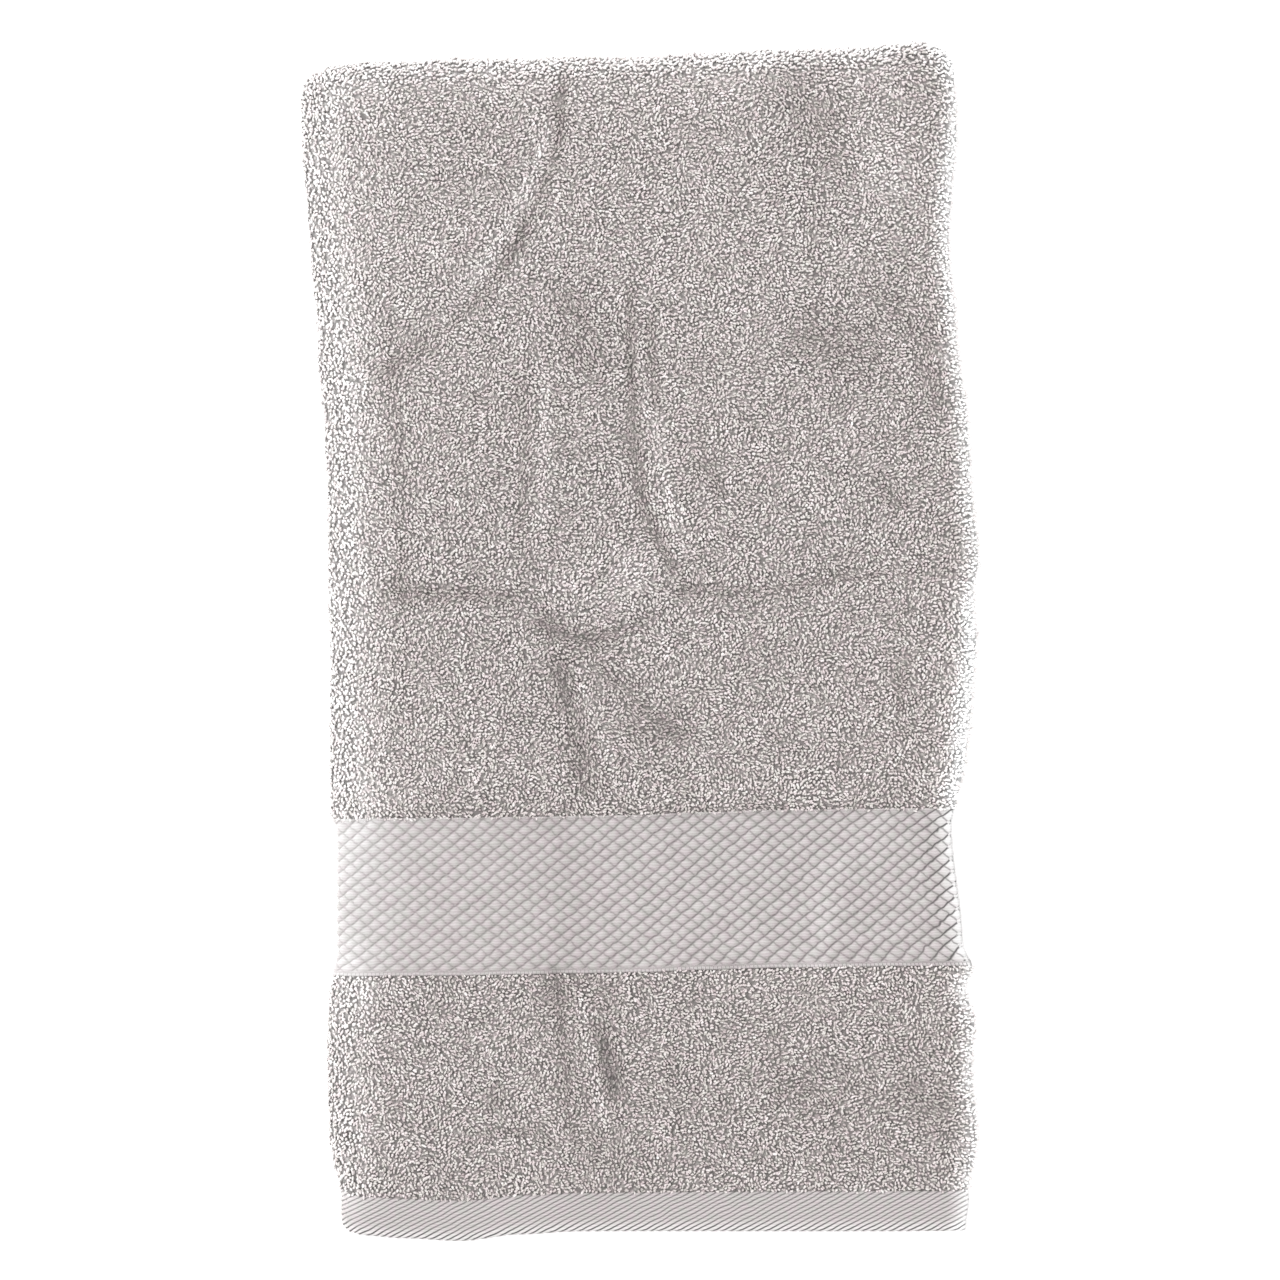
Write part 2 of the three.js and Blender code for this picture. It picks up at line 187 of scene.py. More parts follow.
def read_table(table: Sequence[NamedTuple], column: str, at: Array) -> Array:
    """A column of a table, eased between its rows.

    Args:
        table: Rows whose first column rises.
        column: Name of the column to read.
        at: Places in the first column.

    Returns:
        The column's value at each place, held level past the first and last rows.
    """
    knots = np.array([row[0] for row in table], float)
    values = np.array([getattr(row, column) for row in table], float)
    after = np.clip(np.searchsorted(knots, at), 1, len(knots) - 1)
    t = np.clip((at - knots[after - 1]) / (knots[after] - knots[after - 1]), 0.0, 1.0)
    return lerp(values[after - 1], values[after], t * t * (3.0 - 2.0 * t))


@dataclass(frozen=True)
class SmoothNoise:
    """Random numbers on a square lattice over the cloth, eased between its knots."""

    seed: int
    cell: float
    knots: int = 128

    def at(self, x: Array, y: Array) -> Array:
        """The noise at places in mm, with a spread of about 0.6 round zero."""
        table = np.random.default_rng(self.seed).standard_normal((self.knots, self.knots))
        column, row = np.floor(x / self.cell), np.floor(y / self.cell)
        across = smoothstep(x / self.cell - column, 0.0, 1.0)
        along = smoothstep(y / self.cell - row, 0.0, 1.0)
        i, j = column.astype(int) % self.knots, row.astype(int) % self.knots
        i_next, j_next = (i + 1) % self.knots, (j + 1) % self.knots
        low = lerp(table[j, i], table[j, i_next], across)
        high = lerp(table[j_next, i], table[j_next, i_next], across)
        return lerp(low, high, along)


@dataclass(frozen=True)
class Crease:
    """A line that raises (over zero) or lowers the cloth, or its tone, to either side of it."""

    name: str
    amount: float
    spread: float
    line: tuple[tuple[float, float], ...]
    taper: Taper = Taper.NONE
    taper_share: float = 0.35

    def nearest(self, x: Array, y: Array) -> tuple[Array, Array, Array]:
        """Distance to the line, share of it passed at its nearest point, and its heading there.

        On a straight piece from a to b the nearest point to p is a + t (b - a), with
        t = (p - a).(b - a) / |b - a|^2 held between 0 and 1.
        """
        points = np.array(self.line, float)
        lengths = np.linalg.norm(np.diff(points, axis=0), axis=1)
        distance = np.full(np.shape(x), np.inf)
        share, heading = np.zeros(np.shape(x)), np.zeros(np.shape(x))
        passed = 0.0
        for a, b, length in zip(points[:-1], points[1:], lengths):
            t = ((x - a[0]) * (b[0] - a[0]) + (y - a[1]) * (b[1] - a[1])) / length**2
            t = np.clip(t, 0.0, 1.0)
            here = np.hypot(x - lerp(a[0], b[0], t), y - lerp(a[1], b[1], t))
            nearer = here < distance
            distance = np.where(nearer, here, distance)
            share = np.where(nearer, (passed + t * length) / lengths.sum(), share)
            heading = np.where(nearer, math.atan2(b[1] - a[1], b[0] - a[0]), heading)
            passed += length
        return distance, share, heading

    def strength(self, x: Array, y: Array) -> Array:
        """The share of the amount at a place: taper times exp(-(distance / spread)^2)."""
        distance, share, _ = self.nearest(x, y)
        first = smoothstep(share, 0.0, self.taper_share) if self.taper.at_start() else 1.0
        last = 1.0 - smoothstep(share, 1.0 - self.taper_share, 1.0) if self.taper.at_end() else 1.0
        return first * last * np.exp(-((distance / self.spread) ** 2))


# Creases of the cloth, each with how far it raises the cloth and how far it spreads, in mm
CREASES = (
    Crease("diagonal trough", -2.0, 8,
           ((-39, 699), (-46, 652), (-58, 613), (-79, 572), (-111, 537), (-149, 504)), Taper.END),
    Crease("ridge above the diagonal trough", 1.1, 11,
           ((-58, 699), (-66, 652), (-82, 611), (-104, 574), (-130, 541)), Taper.END),
    Crease("hollow under the diagonal trough", -0.6, 20,
           ((-23, 693), (-29, 640), (-53, 587), (-82, 546)), Taper.BOTH),
    Crease("middle trough", -1.9, 8,
           ((-7, 566), (-2, 493), (-4, 452), (4, 411), (31, 377)), Taper.BOTH),
    Crease("hollow left of the middle trough", -0.7, 20, ((-31, 552), (-35, 505))),
    Crease("ridge right of the middle trough", 1.0, 11,
           ((17, 552), (22, 493), (24, 446), (36, 399)), Taper.BOTH),
    Crease("left cross trough", -1.7, 9, ((-182, 383), (-123, 378), (-55, 375)), Taper.END),
    Crease("right cross trough", -1.4, 8, ((31, 377), (89, 384), (130, 390), (203, 387))),
    Crease("puff between the cross troughs", 2.0, 20, ((-32, 378), (1, 387))),
    Crease("trough under the puff", -1.9, 8, ((-58, 363), (-32, 351), (1, 361), (31, 377))),
    Crease("trough down to the border", -1.3, 9,
           ((-49, 352), (-39, 317), (-30, 270), (-16, 245)), Taper.END),
    Crease("short slanting trough", -1.0, 8, ((-29, 343), (1, 310), (33, 293)), Taper.BOTH),
    Crease("left upright ridge", 0.8, 8, ((-55, 517), (-53, 469), (-57, 399)), Taper.BOTH),
    Crease("left upright trough", -0.9, 9, ((-69, 534), (-70, 481), (-77, 422)), Taper.BOTH),
    Crease("hollow by the right end of the fold", -1.1, 17, ((108, 687), (105, 631))),
    Crease("swell by the right selvedge", 0.8, 22, ((145, 640), (153, 602))),
    Crease("right hollow", -1.2, 18, ((103, 534), (124, 521), (156, 493))),
    Crease("hollow over the right cross trough", -0.7, 10, ((45, 452), (62, 433))),
    Crease("hollow by the right selvedge", -0.8, 10, ((145, 437), (124, 396))),
    Crease("swell under the right cross trough", 0.7, 30, ((71, 346), (118, 340))),
    Crease("low hollow by the right selvedge", -0.8, 12, ((155, 340), (162, 267))),
    Crease("swell under the left cross trough", 0.7, 28, ((-111, 328), (-105, 299))),
    Crease("swell in the border", 0.6, 12, ((119, 245), (113, 164))),
    Crease("left trough in the lower band", -0.9, 8, ((-46, 159), (-41, 105), (-38, 43)), Taper.END),
    Crease("ridge in the lower band", 1.2, 8, ((-33, 149), (-29, 117), (-21, 64)), Taper.END),
    Crease("hollow in the lower band", -1.6, 8, ((-21, 117), (-15, 83))),
    Crease("curved hollow over the hem", -0.7, 9, ((-93, 38), (-79, 58), (-46, 65)), Taper.BOTH),
    Crease("right hollow in the lower band", -0.8, 16, ((95, 88), (168, 90))),
    Crease("groove along the left folds", -1.3, 10,
           ((-176, 593), (-160, 522), (-151, 446), (-149, 352), (-151, 258)), Taper.BOTH),
    Crease("crown of the left folds", 0.9, 12,
           ((-184, 700), (-178, 600), (-170, 480), (-166, 300), (-163, 0))),
    Crease("crown of the crosswise fold", 1.0, 14, ((-190, 672), (0, 680), (190, 686))),
    Crease("droop of the selvedges", -1.6, 12,
           ((186, 700), (184, 590), (197, 470), (199, 350), (190, 230), (198, 60), (196, 0))),
)

# Lines along which the cloth is painted paler (over zero) or darker, as a share of its colour: painted
# shade in its troughs and hollows, and painted light on its ridges, rolls and edges
PAINTED_SHADE_AND_LIGHT = (
    Crease("diagonal trough", -0.17, 3.2,
           ((-43.5, 690), (-47, 644), (-56, 618), (-68.5, 592), (-85, 563), (-111, 537), (-141, 515)),
           Taper.END, 0.4),
    Crease("upper dark end of the diagonal", -0.16, 3.8, ((-45, 678), (-47, 648))),
    Crease("middle dark spot of the diagonal", -0.2, 4, ((-66, 596), (-77, 576))),
    Crease("left dark end of the diagonal", -0.18, 6.5, ((-128, 524), (-148, 510))),
    Crease("edge of the diagonal", 0.19, 3.8,
           ((-52, 668), (-56, 645), (-66, 618), (-80, 591), (-96, 565), (-110, 548)), Taper.BOTH, 0.2),
    # The blotches are patches of painted shade over hollows in the cloth
    Crease("blotch by the right end of the fold", -0.17, 19, ((98, 676), (112, 640))),
    Crease("upright line under that blotch", -0.1, 4, ((102, 630), (103, 562)), Taper.BOTH),
    Crease("pale patch by the right selvedge", 0.12, 16, ((131, 648), (150, 622))),
    Crease("blotch in the right half", -0.2, 17, ((104, 532), (128, 522))),
    Crease("blotch near the right selvedge", -0.14, 12, ((150, 550), (170, 530), (176, 495))),
    Crease("spot near the right selvedge", -0.2, 6, ((145, 440), (152, 432))),
    Crease("middle trough", -0.34, 3.4,
           ((-6, 568), (-5, 515), (-3, 471), (0, 442), (7, 420), (18, 398), (28, 383)), Taper.BOTH, 0.1),
    Crease("second line of the middle trough", -0.28, 3, ((7, 550), (9, 484)), Taper.BOTH, 0.15),
    Crease("edge of the middle trough", 0.15, 3.8,
           ((3, 520), (7, 490), (14, 457), (19, 424), (29, 400)), Taper.BOTH, 0.15),
    Crease("short slant right of the middle", -0.17, 5, ((32, 466), (52, 434)), Taper.BOTH),
    Crease("right cross trough", -0.2, 3.4,
           ((26, 382), (50, 379), (87, 383), (124, 390), (192, 391)), Taper.END, 0.5),
    Crease("upright ridge on the left", 0.14, 3.5,
           ((-56, 520), (-55, 470), (-57, 408)), Taper.BOTH, 0.15),
    Crease("upright trough on the left", -0.17, 4,
           ((-67, 522), (-68, 470), (-69, 400)), Taper.BOTH, 0.2),
    Crease("patch left of the middle trough", -0.18, 14, ((-38, 548), (-30, 518))),
    Crease("left cross trough", -0.24, 5.5,
           ((-158, 384), (-118, 379), (-89, 378), (-62, 378)), Taper.BOTH, 0.15),
    Crease("crown of the puff", 0.14, 15, ((-28, 382), (-2, 394))),
    Crease("wrinkle in the puff", -0.2, 3, ((-38, 374), (-24, 388), (-12, 404)), Taper.BOTH),
    Crease("under the puff", -0.32, 3.8,
           ((-58, 363), (-42, 356), (-30, 352), (-12, 357), (6, 365), (22, 378)), Taper.END, 0.9),
    Crease("trough down to the border", -0.1, 4.5,
           ((-52, 350), (-46, 334), (-43, 322), (-38, 302), (-32, 276), (-28, 258)), Taper.BOTH, 0.1),
    Crease("shade of that trough", -0.07, 14, ((-40, 346), (-36, 304))),
    Crease("shade under the puff", -0.09, 10, ((-58, 362), (-40, 352), (-16, 352))),
    Crease("dark spot of that trough", -0.22, 7, ((-47, 334), (-43, 318))),
    Crease("lower spot of that trough", -0.17, 11, ((-36, 290), (-30, 268))),
    Crease("short slanting trough", -0.18, 5.5,
           ((-31, 343), (-8, 324), (10, 307), (23, 297)), Taper.START),
    Crease("spot at its lower end", -0.2, 9, ((4, 300), (22, 298))),
    Crease("ridge between the two", 0.14, 3.4, ((-38, 342), (-27, 310), (-14, 272)), Taper.BOTH, 0.15),
    Crease("low line by the right selvedge", -0.18, 4, ((153, 346), (154, 302)), Taper.BOTH),
    Crease("lower edge of the pile field", -0.1, 2.6, ((-180, 250), (0, 252), (190, 257))),
    Crease("upper dark end in the lower band", -0.13, 9, ((-52, 148), (-22, 145))),
    Crease("left line in the lower band", -0.18, 4,
           ((-49, 158), (-46, 133), (-43, 96), (-39, 46)), Taper.END),
    Crease("ridge in the lower band", 0.2, 2.8,
           ((-36, 155), (-32, 126), (-27, 96), (-16, 56)), Taper.BOTH, 0.15),
    Crease("hollow in the lower band", -0.42, 6, ((-25, 134), (-18, 104), (-12, 74)), Taper.BOTH),
    Crease("curve over the hem", -0.17, 4,
           ((-107, 46), (-96, 58), (-85, 64), (-60, 63), (-41, 52)), Taper.BOTH),
    Crease("spot in the lower band", -0.24, 4, ((-86, 88), (-85, 78))),
    Crease("right patch in the lower band", -0.13, 14, ((88, 90), (104, 84))),
    Crease("patch by the lower right selvedge", -0.13, 11, ((160, 88), (172, 76))),
    Crease("groove along the left folds", -0.13, 6,
           ((-163, 604), (-145, 522), (-140, 446), (-139, 352), (-140, 258)), Taper.BOTH),
    Crease("roll of the left folds", 0.36, 16,
           ((-197, 690), (-194, 640), (-184, 530), (-178, 398), (-176, 252))),
    Crease("pale left side", 0.14, 50,
           ((-190, 690), (-188, 640), (-180, 530), (-176, 398), (-176, 252))),
    Crease("roll of the left folds in the lower band", 0.32, 20, ((-178, 150), (-176, 30))),
    Crease("pale lower right selvedge", 0.3, 12, ((197, 368), (190, 300), (185, 262))),
    Crease("pale top", 0.14, 30, ((-190, 696), (0, 697), (182, 703))),
    Crease("roll of the crosswise fold", 0.34, 10,
           ((-197, 682), (-160, 692), (0, 697), (130, 702), (165, 706), (182, 703))),
    Crease("left end of the border", 0.29, 28, ((-179, 240), (-179, 166))),
    Crease("pale stretch of the left folds", 0.09, 13, ((-181, 505), (-178, 440))),
    Crease("corner by the right selvedge", -0.12, 12, ((160, 694), (178, 672))),
    Crease("shade of the lower band", -0.06, 55, ((30, 85), (190, 80))),
    Crease("dark zone in the lower band", -0.07, 24, ((-38, 150), (-28, 40))),
    Crease("pale upper half", 0.05, 130, ((-150, 610), (150, 610))),
    Crease("dark patch in the border", -0.06, 13, ((-42, 240), (-42, 166))),
    Crease("pale streak in the border", 0.09, 8, ((139, 243), (110, 214), (106, 162))),
)


def amount_at(lines: Sequence[Crease], x: Array, y: Array) -> Array:
    """The sum of all lines' amounts at places, each amount times its strength there."""
    return sum(line.amount * line.strength(x, y) for line in lines)


@dataclass
class FoldedCloth:
    """The whole cloth as a function of two parameters, folded into its four layers."""

    folded_width: float = 381.0
    folded_length: float = 700.0
    pile_thickness: float = 4.8
    border_thickness: float = 2.8
    hem_thickness: float = 3.0
    selvedge_thinning: float = 0.3
    selvedge_width: float = 6.0
    layer_pitch: float = 5.7
    flat_pitch: float = 5.2
    pair_gap: float = 0.9
    hem_top: float = 23.0
    border_bottom: float = 159.0
    border_top: float = 248.0
    pile_step: float = 3.0
    border_sag: Sag = Sag(1.2, 2.3, 18.0)
    hem_sag: Sag = Sag(1.2, 2.6, 45.0)
    nose_depth: float = 16.0
    nose_wall: float = 5.4
    turn_depth: float = 14.0
    turn_slot: float = 3.0
    # The most that the creases' painted light may pale the face, and the painted light along the
    # selvedge: how pale, and how far in
    palest: float = 0.42
    painted_edge_light: float = 0.65
    painted_edge_light_width: float = 18.0
    lower_fold_setback: float = 2.0
    setback_run: float = 120.0
    setback_share: float = 0.2
    arc_samples: int = 400
    box_samples: tuple[int, int] = (200, 400)
    box_margin: float = 60.0
    shift: tuple[float, float] = (0.0, 0.0)

    def __post_init__(self) -> None:
        """Work out the heights, the lengths round the folds and the place in the frame."""
        self.pair_middle = (self.layer_pitch + self.pile_thickness) / 2
        self.turn_height = 2 * self.pair_middle + self.pair_gap / 2
        self.stack_height = 2 * self.turn_height
        self.turn_start = self.folded_length - self.turn_depth
        self.flat_width = self.folded_width - self.nose_depth
        self.border_middle = (self.border_bottom + self.border_top) / 2
        self._angles = np.linspace(0.0, math.pi / 2, self.arc_samples)
        self._nose_lengths = self._quarter(self.nose_depth, self.pair_middle)
        self._turn_lengths = self._quarter(self.turn_depth, self.turn_height)
        self.nose_arc = float(self._nose_lengths[-1])
        self.turn_arc = float(self._turn_lengths[-1])
        self.edge_u = self.nose_arc + self.flat_width
        self.edge_v = self.turn_arc + self.turn_start
        self.shift = self._place_in_frame()

    def _quarter(self, depth: float, height: float) -> Array:
        """Length passed round a quarter ellipse from its tip, the sum of its short chords."""
        across, up = depth * np.cos(self._angles), height * np.sin(self._angles)
        chords = np.hypot(np.diff(across), np.diff(up))
        return np.concatenate(([0.0], np.cumsum(chords)))

    def _place_in_frame(self) -> tuple[float, float]:
        """The move along X and Y that lays the middle of the cloth's box on the solid's."""
        low, high = (np.array(corner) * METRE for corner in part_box(NODE))
        across, along = self.box_samples
        points = self.fold(
            *np.meshgrid(
                np.linspace(0.0, self.edge_u, across),
                np.linspace(-self.box_margin, self.edge_v, along),
            )
        )
        own_middle = (points.min(axis=(0, 1)) + points.max(axis=(0, 1))) / 2
        move = (low + high) / 2 - own_middle
        return float(move[0]), float(move[1])

    def upper(self, y: Array) -> Array:
        """The v of a height y above the upper pair's hem edge."""
        return self.turn_arc + self.turn_start - np.asarray(y, float)

    def lines_across(self, wrap: float, steps: int) -> Array:
        """Grid lines across the upper face, from its selvedge on round the lengthwise fold."""
        return np.linspace(self.edge_u, -self.nose_arc - wrap, steps + 1)

    def height_above_hem(self, v: Array) -> Array:
        """The way from the nearer hem's edge along the cloth, up to the crosswise fold."""
        return self.turn_start - (np.abs(v) - np.clip(np.abs(v), 0.0, self.turn_arc))

    def hem_share(self, y: Array) -> Array:
        """1 in the turned hem and 0 above it."""
        half = self.pile_step / 2
        return 1.0 - smoothstep(y, self.hem_top - half, self.hem_top + half)

    def border_share(self, y: Array) -> Array:
        """1 in the woven border and 0 outside it."""
        half = self.pile_step / 2
        rise = smoothstep(y, self.border_bottom - half, self.border_bottom + half)
        return rise * (1.0 - smoothstep(y, self.border_top - half, self.border_top + half))

    def thickness(self, y: Array, share: Array) -> Array:
        """Thickness of the cloth, thinned towards its selvedge."""
        full = (
            self.pile_thickness
            + self.hem_share(y) * (self.hem_thickness - self.pile_thickness)
            + self.border_share(y) * (self.border_thickness - self.pile_thickness)
        )
        selvedge = smoothstep(share, 1.0 - self.selvedge_width / self.folded_width, 1.0)
        return full * (1.0 - self.selvedge_thinning * selvedge)

    def sag(self, y: Array, turned: Array) -> Array:
        """How far the flat-woven bands sink, by the pair that they are in."""
        hem = 1.0 - smoothstep(y, 0.0, self.hem_sag.run)
        reach = (self.border_top - self.border_bottom) / 2 + self.border_sag.run
        border = 1.0 - smoothstep(np.abs(y - self.border_middle), 0.0, reach)
        lower = hem * self.hem_sag.lower + border * self.border_sag.lower
        upper = hem * self.hem_sag.upper + border * self.border_sag.upper
        return lerp(lower, upper, turned)

    def end_shift(self, x: Array, y: Array) -> Array:
        """How far the cloth lies off square along Y.

        Below the border's middle line m the share (1 - y / m)^2 of the hem's shift is mixed in,
        and above it the share ((y - m) / (length - m))^3 of the crosswise fold's shift.
        """
        middle = self.border_middle
        border = read_table(ENDS, "border", x)
        to_hem = np.clip(1.0 - y / middle, 0.0, None) ** 2
        to_fold = np.clip((y - middle) / (self.folded_length - middle), 0.0, None) ** 3
        low = lerp(border, read_table(ENDS, "hem", x), to_hem)
        high = lerp(border, read_table(ENDS, "fold", x), to_fold)
        return np.where(y < middle, low, high)

    def _round_fold(self, way: Array, lengths: Array) -> tuple[Array, Array]:
        """Length passed round a fold, and the angle there, of ways from the fold's tip."""
        passed = np.clip(np.abs(way), 0.0, lengths[-1])
        return passed, np.interp(passed, lengths, self._angles)

    def fold(self, u: Array, v: Array, level: Array = 1.0, offset: Array = 0.0) -> Array:
        """Points of the folded cloth.

        The lengthwise fold is half an ellipse: at angle a round it the cloth stands
        depth (1 - cos a) in from the tip and half_height sin a from the pair's middle. The
        crosswise fold turns the pair over about the turn's height: at angle b a point that is
        reach below that height comes to turn_height - reach cos b. Creases rise with the cube
        of the height in the stack.

        Args:
            u: Ways across the cloth from the tip of the lengthwise fold.
            v: Ways along the cloth from the apex of the crosswise fold.
            level: 1 on the cloth's outer face, 0 in its middle and -1 on its inner face.
            offset: Extra way out of the cloth's outer face.

        Returns:
            Points in mm, with X, Y and Z in a last axis.
        """
        given = (np.asarray(array, float) for array in (u, v, level, offset))
        u, v, level, offset = np.broadcast_arrays(*given)
        nose, nose_angle = self._round_fold(u, self._nose_lengths)
        turn, turn_angle = self._round_fold(v, self._turn_lengths)
        share = (np.abs(u) - nose) / self.flat_width
        heading = math.pi / 2 + np.sign(v) * turn_angle
        turned = smoothstep(heading, 0.0, math.pi)
        along = self.turn_start - (np.abs(v) - turn)

        thickness = self.thickness(along, share)
        rise = level * thickness / 2 + offset
        pitch = lerp(
            self.layer_pitch,
            self.flat_pitch,
            np.maximum(self.hem_share(along), self.border_share(along)),
        )
        wall = self.nose_wall * (0.5 - rise / thickness)
        from_edge = (
            wall + (self.nose_depth - wall) * (1.0 - np.cos(nose_angle)) + self.flat_width * share
        )
        f = from_edge / self.folded_width

        outer = u >= 0
        selvedge = np.where(
            outer,
            lerp(OUTER_PANEL.selvedge_lower, OUTER_PANEL.selvedge_upper, turned),
            lerp(INNER_PANEL.selvedge_lower, INNER_PANEL.selvedge_upper, turned),
        )
        hem = np.where(
            outer,
            lerp(OUTER_PANEL.hem_lower, OUTER_PANEL.hem_upper, turned),
            lerp(INNER_PANEL.hem_lower, INNER_PANEL.hem_upper, turned),
        )
        left = read_table(SIDES, "left", along) + lerp(self.lower_fold_setback, 0.0, turned)
        right = read_table(SIDES, "right", along) - selvedge * smoothstep(f, 0.5, 1.0)
        x = lerp(left, right, f)

        half_height = pitch / 2 + rise
        height = self.pair_middle - np.sign(u) * half_height * np.sin(nose_angle)
        reach = self.turn_height - height
        depth = lerp(self.turn_slot, self.turn_depth, reach / self.turn_height)
        straight_y = (
            along
            + depth * np.sin(heading)
            + hem
            * smoothstep(f, 0.0, self.setback_share)
            * (1.0 - smoothstep(along, 0.0, self.setback_run))
        )
        y = straight_y + self.end_shift(x, straight_y)

        straight_z = self.turn_height - reach * np.cos(heading) - self.sag(along, turned)
        straight_z = np.maximum(straight_z, 0.0)
        z = straight_z + amount_at(CREASES, x, y) * (straight_z / self.stack_height) ** 3
        return np.stack((x + self.shift[0], y + self.shift[1], np.maximum(z, 0.0)), axis=-1)

    def painted_edge_light_tone(self, u: Array) -> Array:
        """Painted light: how much paler the face is painted towards its selvedge."""
        edge = smoothstep(u, self.edge_u - self.painted_edge_light_width, self.edge_u)
        return self.painted_edge_light * edge**2

    def tone(self, u: Array, v: Array) -> Array:
        """The painted shade and light at places: how much paler (over zero) or darker the face is
        painted in its creases and towards its edges.
        """
        point = self.fold(u, v)
        creases = amount_at(PAINTED_SHADE_AND_LIGHT, point[..., 0] - self.shift[0], point[..., 1] - self.shift[1])
        return np.minimum(creases, self.palest) + self.painted_edge_light_tone(u)

    def axes(self, u: Array, v: Array, offset: Array, step: float = 0.4) -> tuple[Array, ...]:
        """A point of the outer face, its unit ways across and along the cloth, and its normal.

        The ways are differences over a short step, and the normal is the way along crossed
        with the way across.
        """
        point = self.fold(u, v, 1.0, offset)
        across = self.fold(u + step, v, 1.0, offset) - self.fold(u - step, v, 1.0, offset)
        along = self.fold(u, v + step, 1.0, offset) - self.fold(u, v - step, 1.0, offset)
        normal = unit(np.cross(along, across))
        across = unit(across)
        return point, across, np.cross(across, normal), normal


def unit(vectors: Array) -> Array:
    """Vectors brought to length 1."""
    return vectors / np.maximum(np.linalg.norm(vectors, axis=-1, keepdims=True), TINY)


def ridge(phase: Array, sharpness: float) -> Array:
    """Height of a ridge, 1 - |2 d|^sharpness with d the way to the nearest whole phase."""
    return 1.0 - np.abs(2.0 * (phase - np.round(phase))) ** sharpness


def new_mesh(name: str, points: Array, faces: Sequence[Array]) -> bpy.types.Object:
    """A smooth mesh object at the origin.

    Args:
        name: Name of the piece.
        points: Its vertices in mm, one a row.
        faces: Arrays of vertex numbers, a face a row, each array with its own face size.

    Returns:
        The new object, linked to the scene.
    """
    corners = np.concatenate([array.ravel() for array in faces])
    sizes = np.concatenate([np.full(len(array), array.shape[1]) for array in faces])
    mesh = bpy.data.meshes.new(name)
    mesh.vertices.add(len(points))
    mesh.vertices.foreach_set("co", (points / METRE).astype(np.float32).ravel())
    mesh.loops.add(len(corners))
    mesh.loops.foreach_set("vertex_index", corners.astype(np.int32))
    mesh.polygons.add(len(sizes))
    mesh.polygons.foreach_set("loop_start", (np.cumsum(sizes) - sizes).astype(np.int32))
    mesh.polygons.foreach_set("use_smooth", np.ones(len(sizes), bool))
    mesh.update(calc_edges=True)
    piece = bpy.data.objects.new(name, mesh)
    bpy.context.scene.collection.objects.link(piece)
    return piece


def set_attribute(piece: bpy.types.Object, name: str, values: Array) -> None:
    """Give each vertex of a piece a number that its material reads by name."""
    attribute = piece.data.attributes.new(name, "FLOAT", "POINT")
    attribute.data.foreach_set("value", values.astype(np.float32).ravel())


def corner_vertices(mesh: bpy.types.Mesh) -> Array:
    """The number of the vertex at each corner of a mesh's faces."""
    corner = np.empty(len(mesh.loops), np.int32)
    mesh.loops.foreach_get("vertex_index", corner)
    return corner


def set_uv(piece: bpy.types.Object, place: Array) -> None:
    """Give a piece a UV map that holds each vertex's place on the cloth, in centimetres."""
    uv = place[corner_vertices(piece.data)] / CENTIMETRE
    piece.data.uv_layers.new(name="cloth").data.foreach_set("uv", uv.astype(np.float32).ravel())


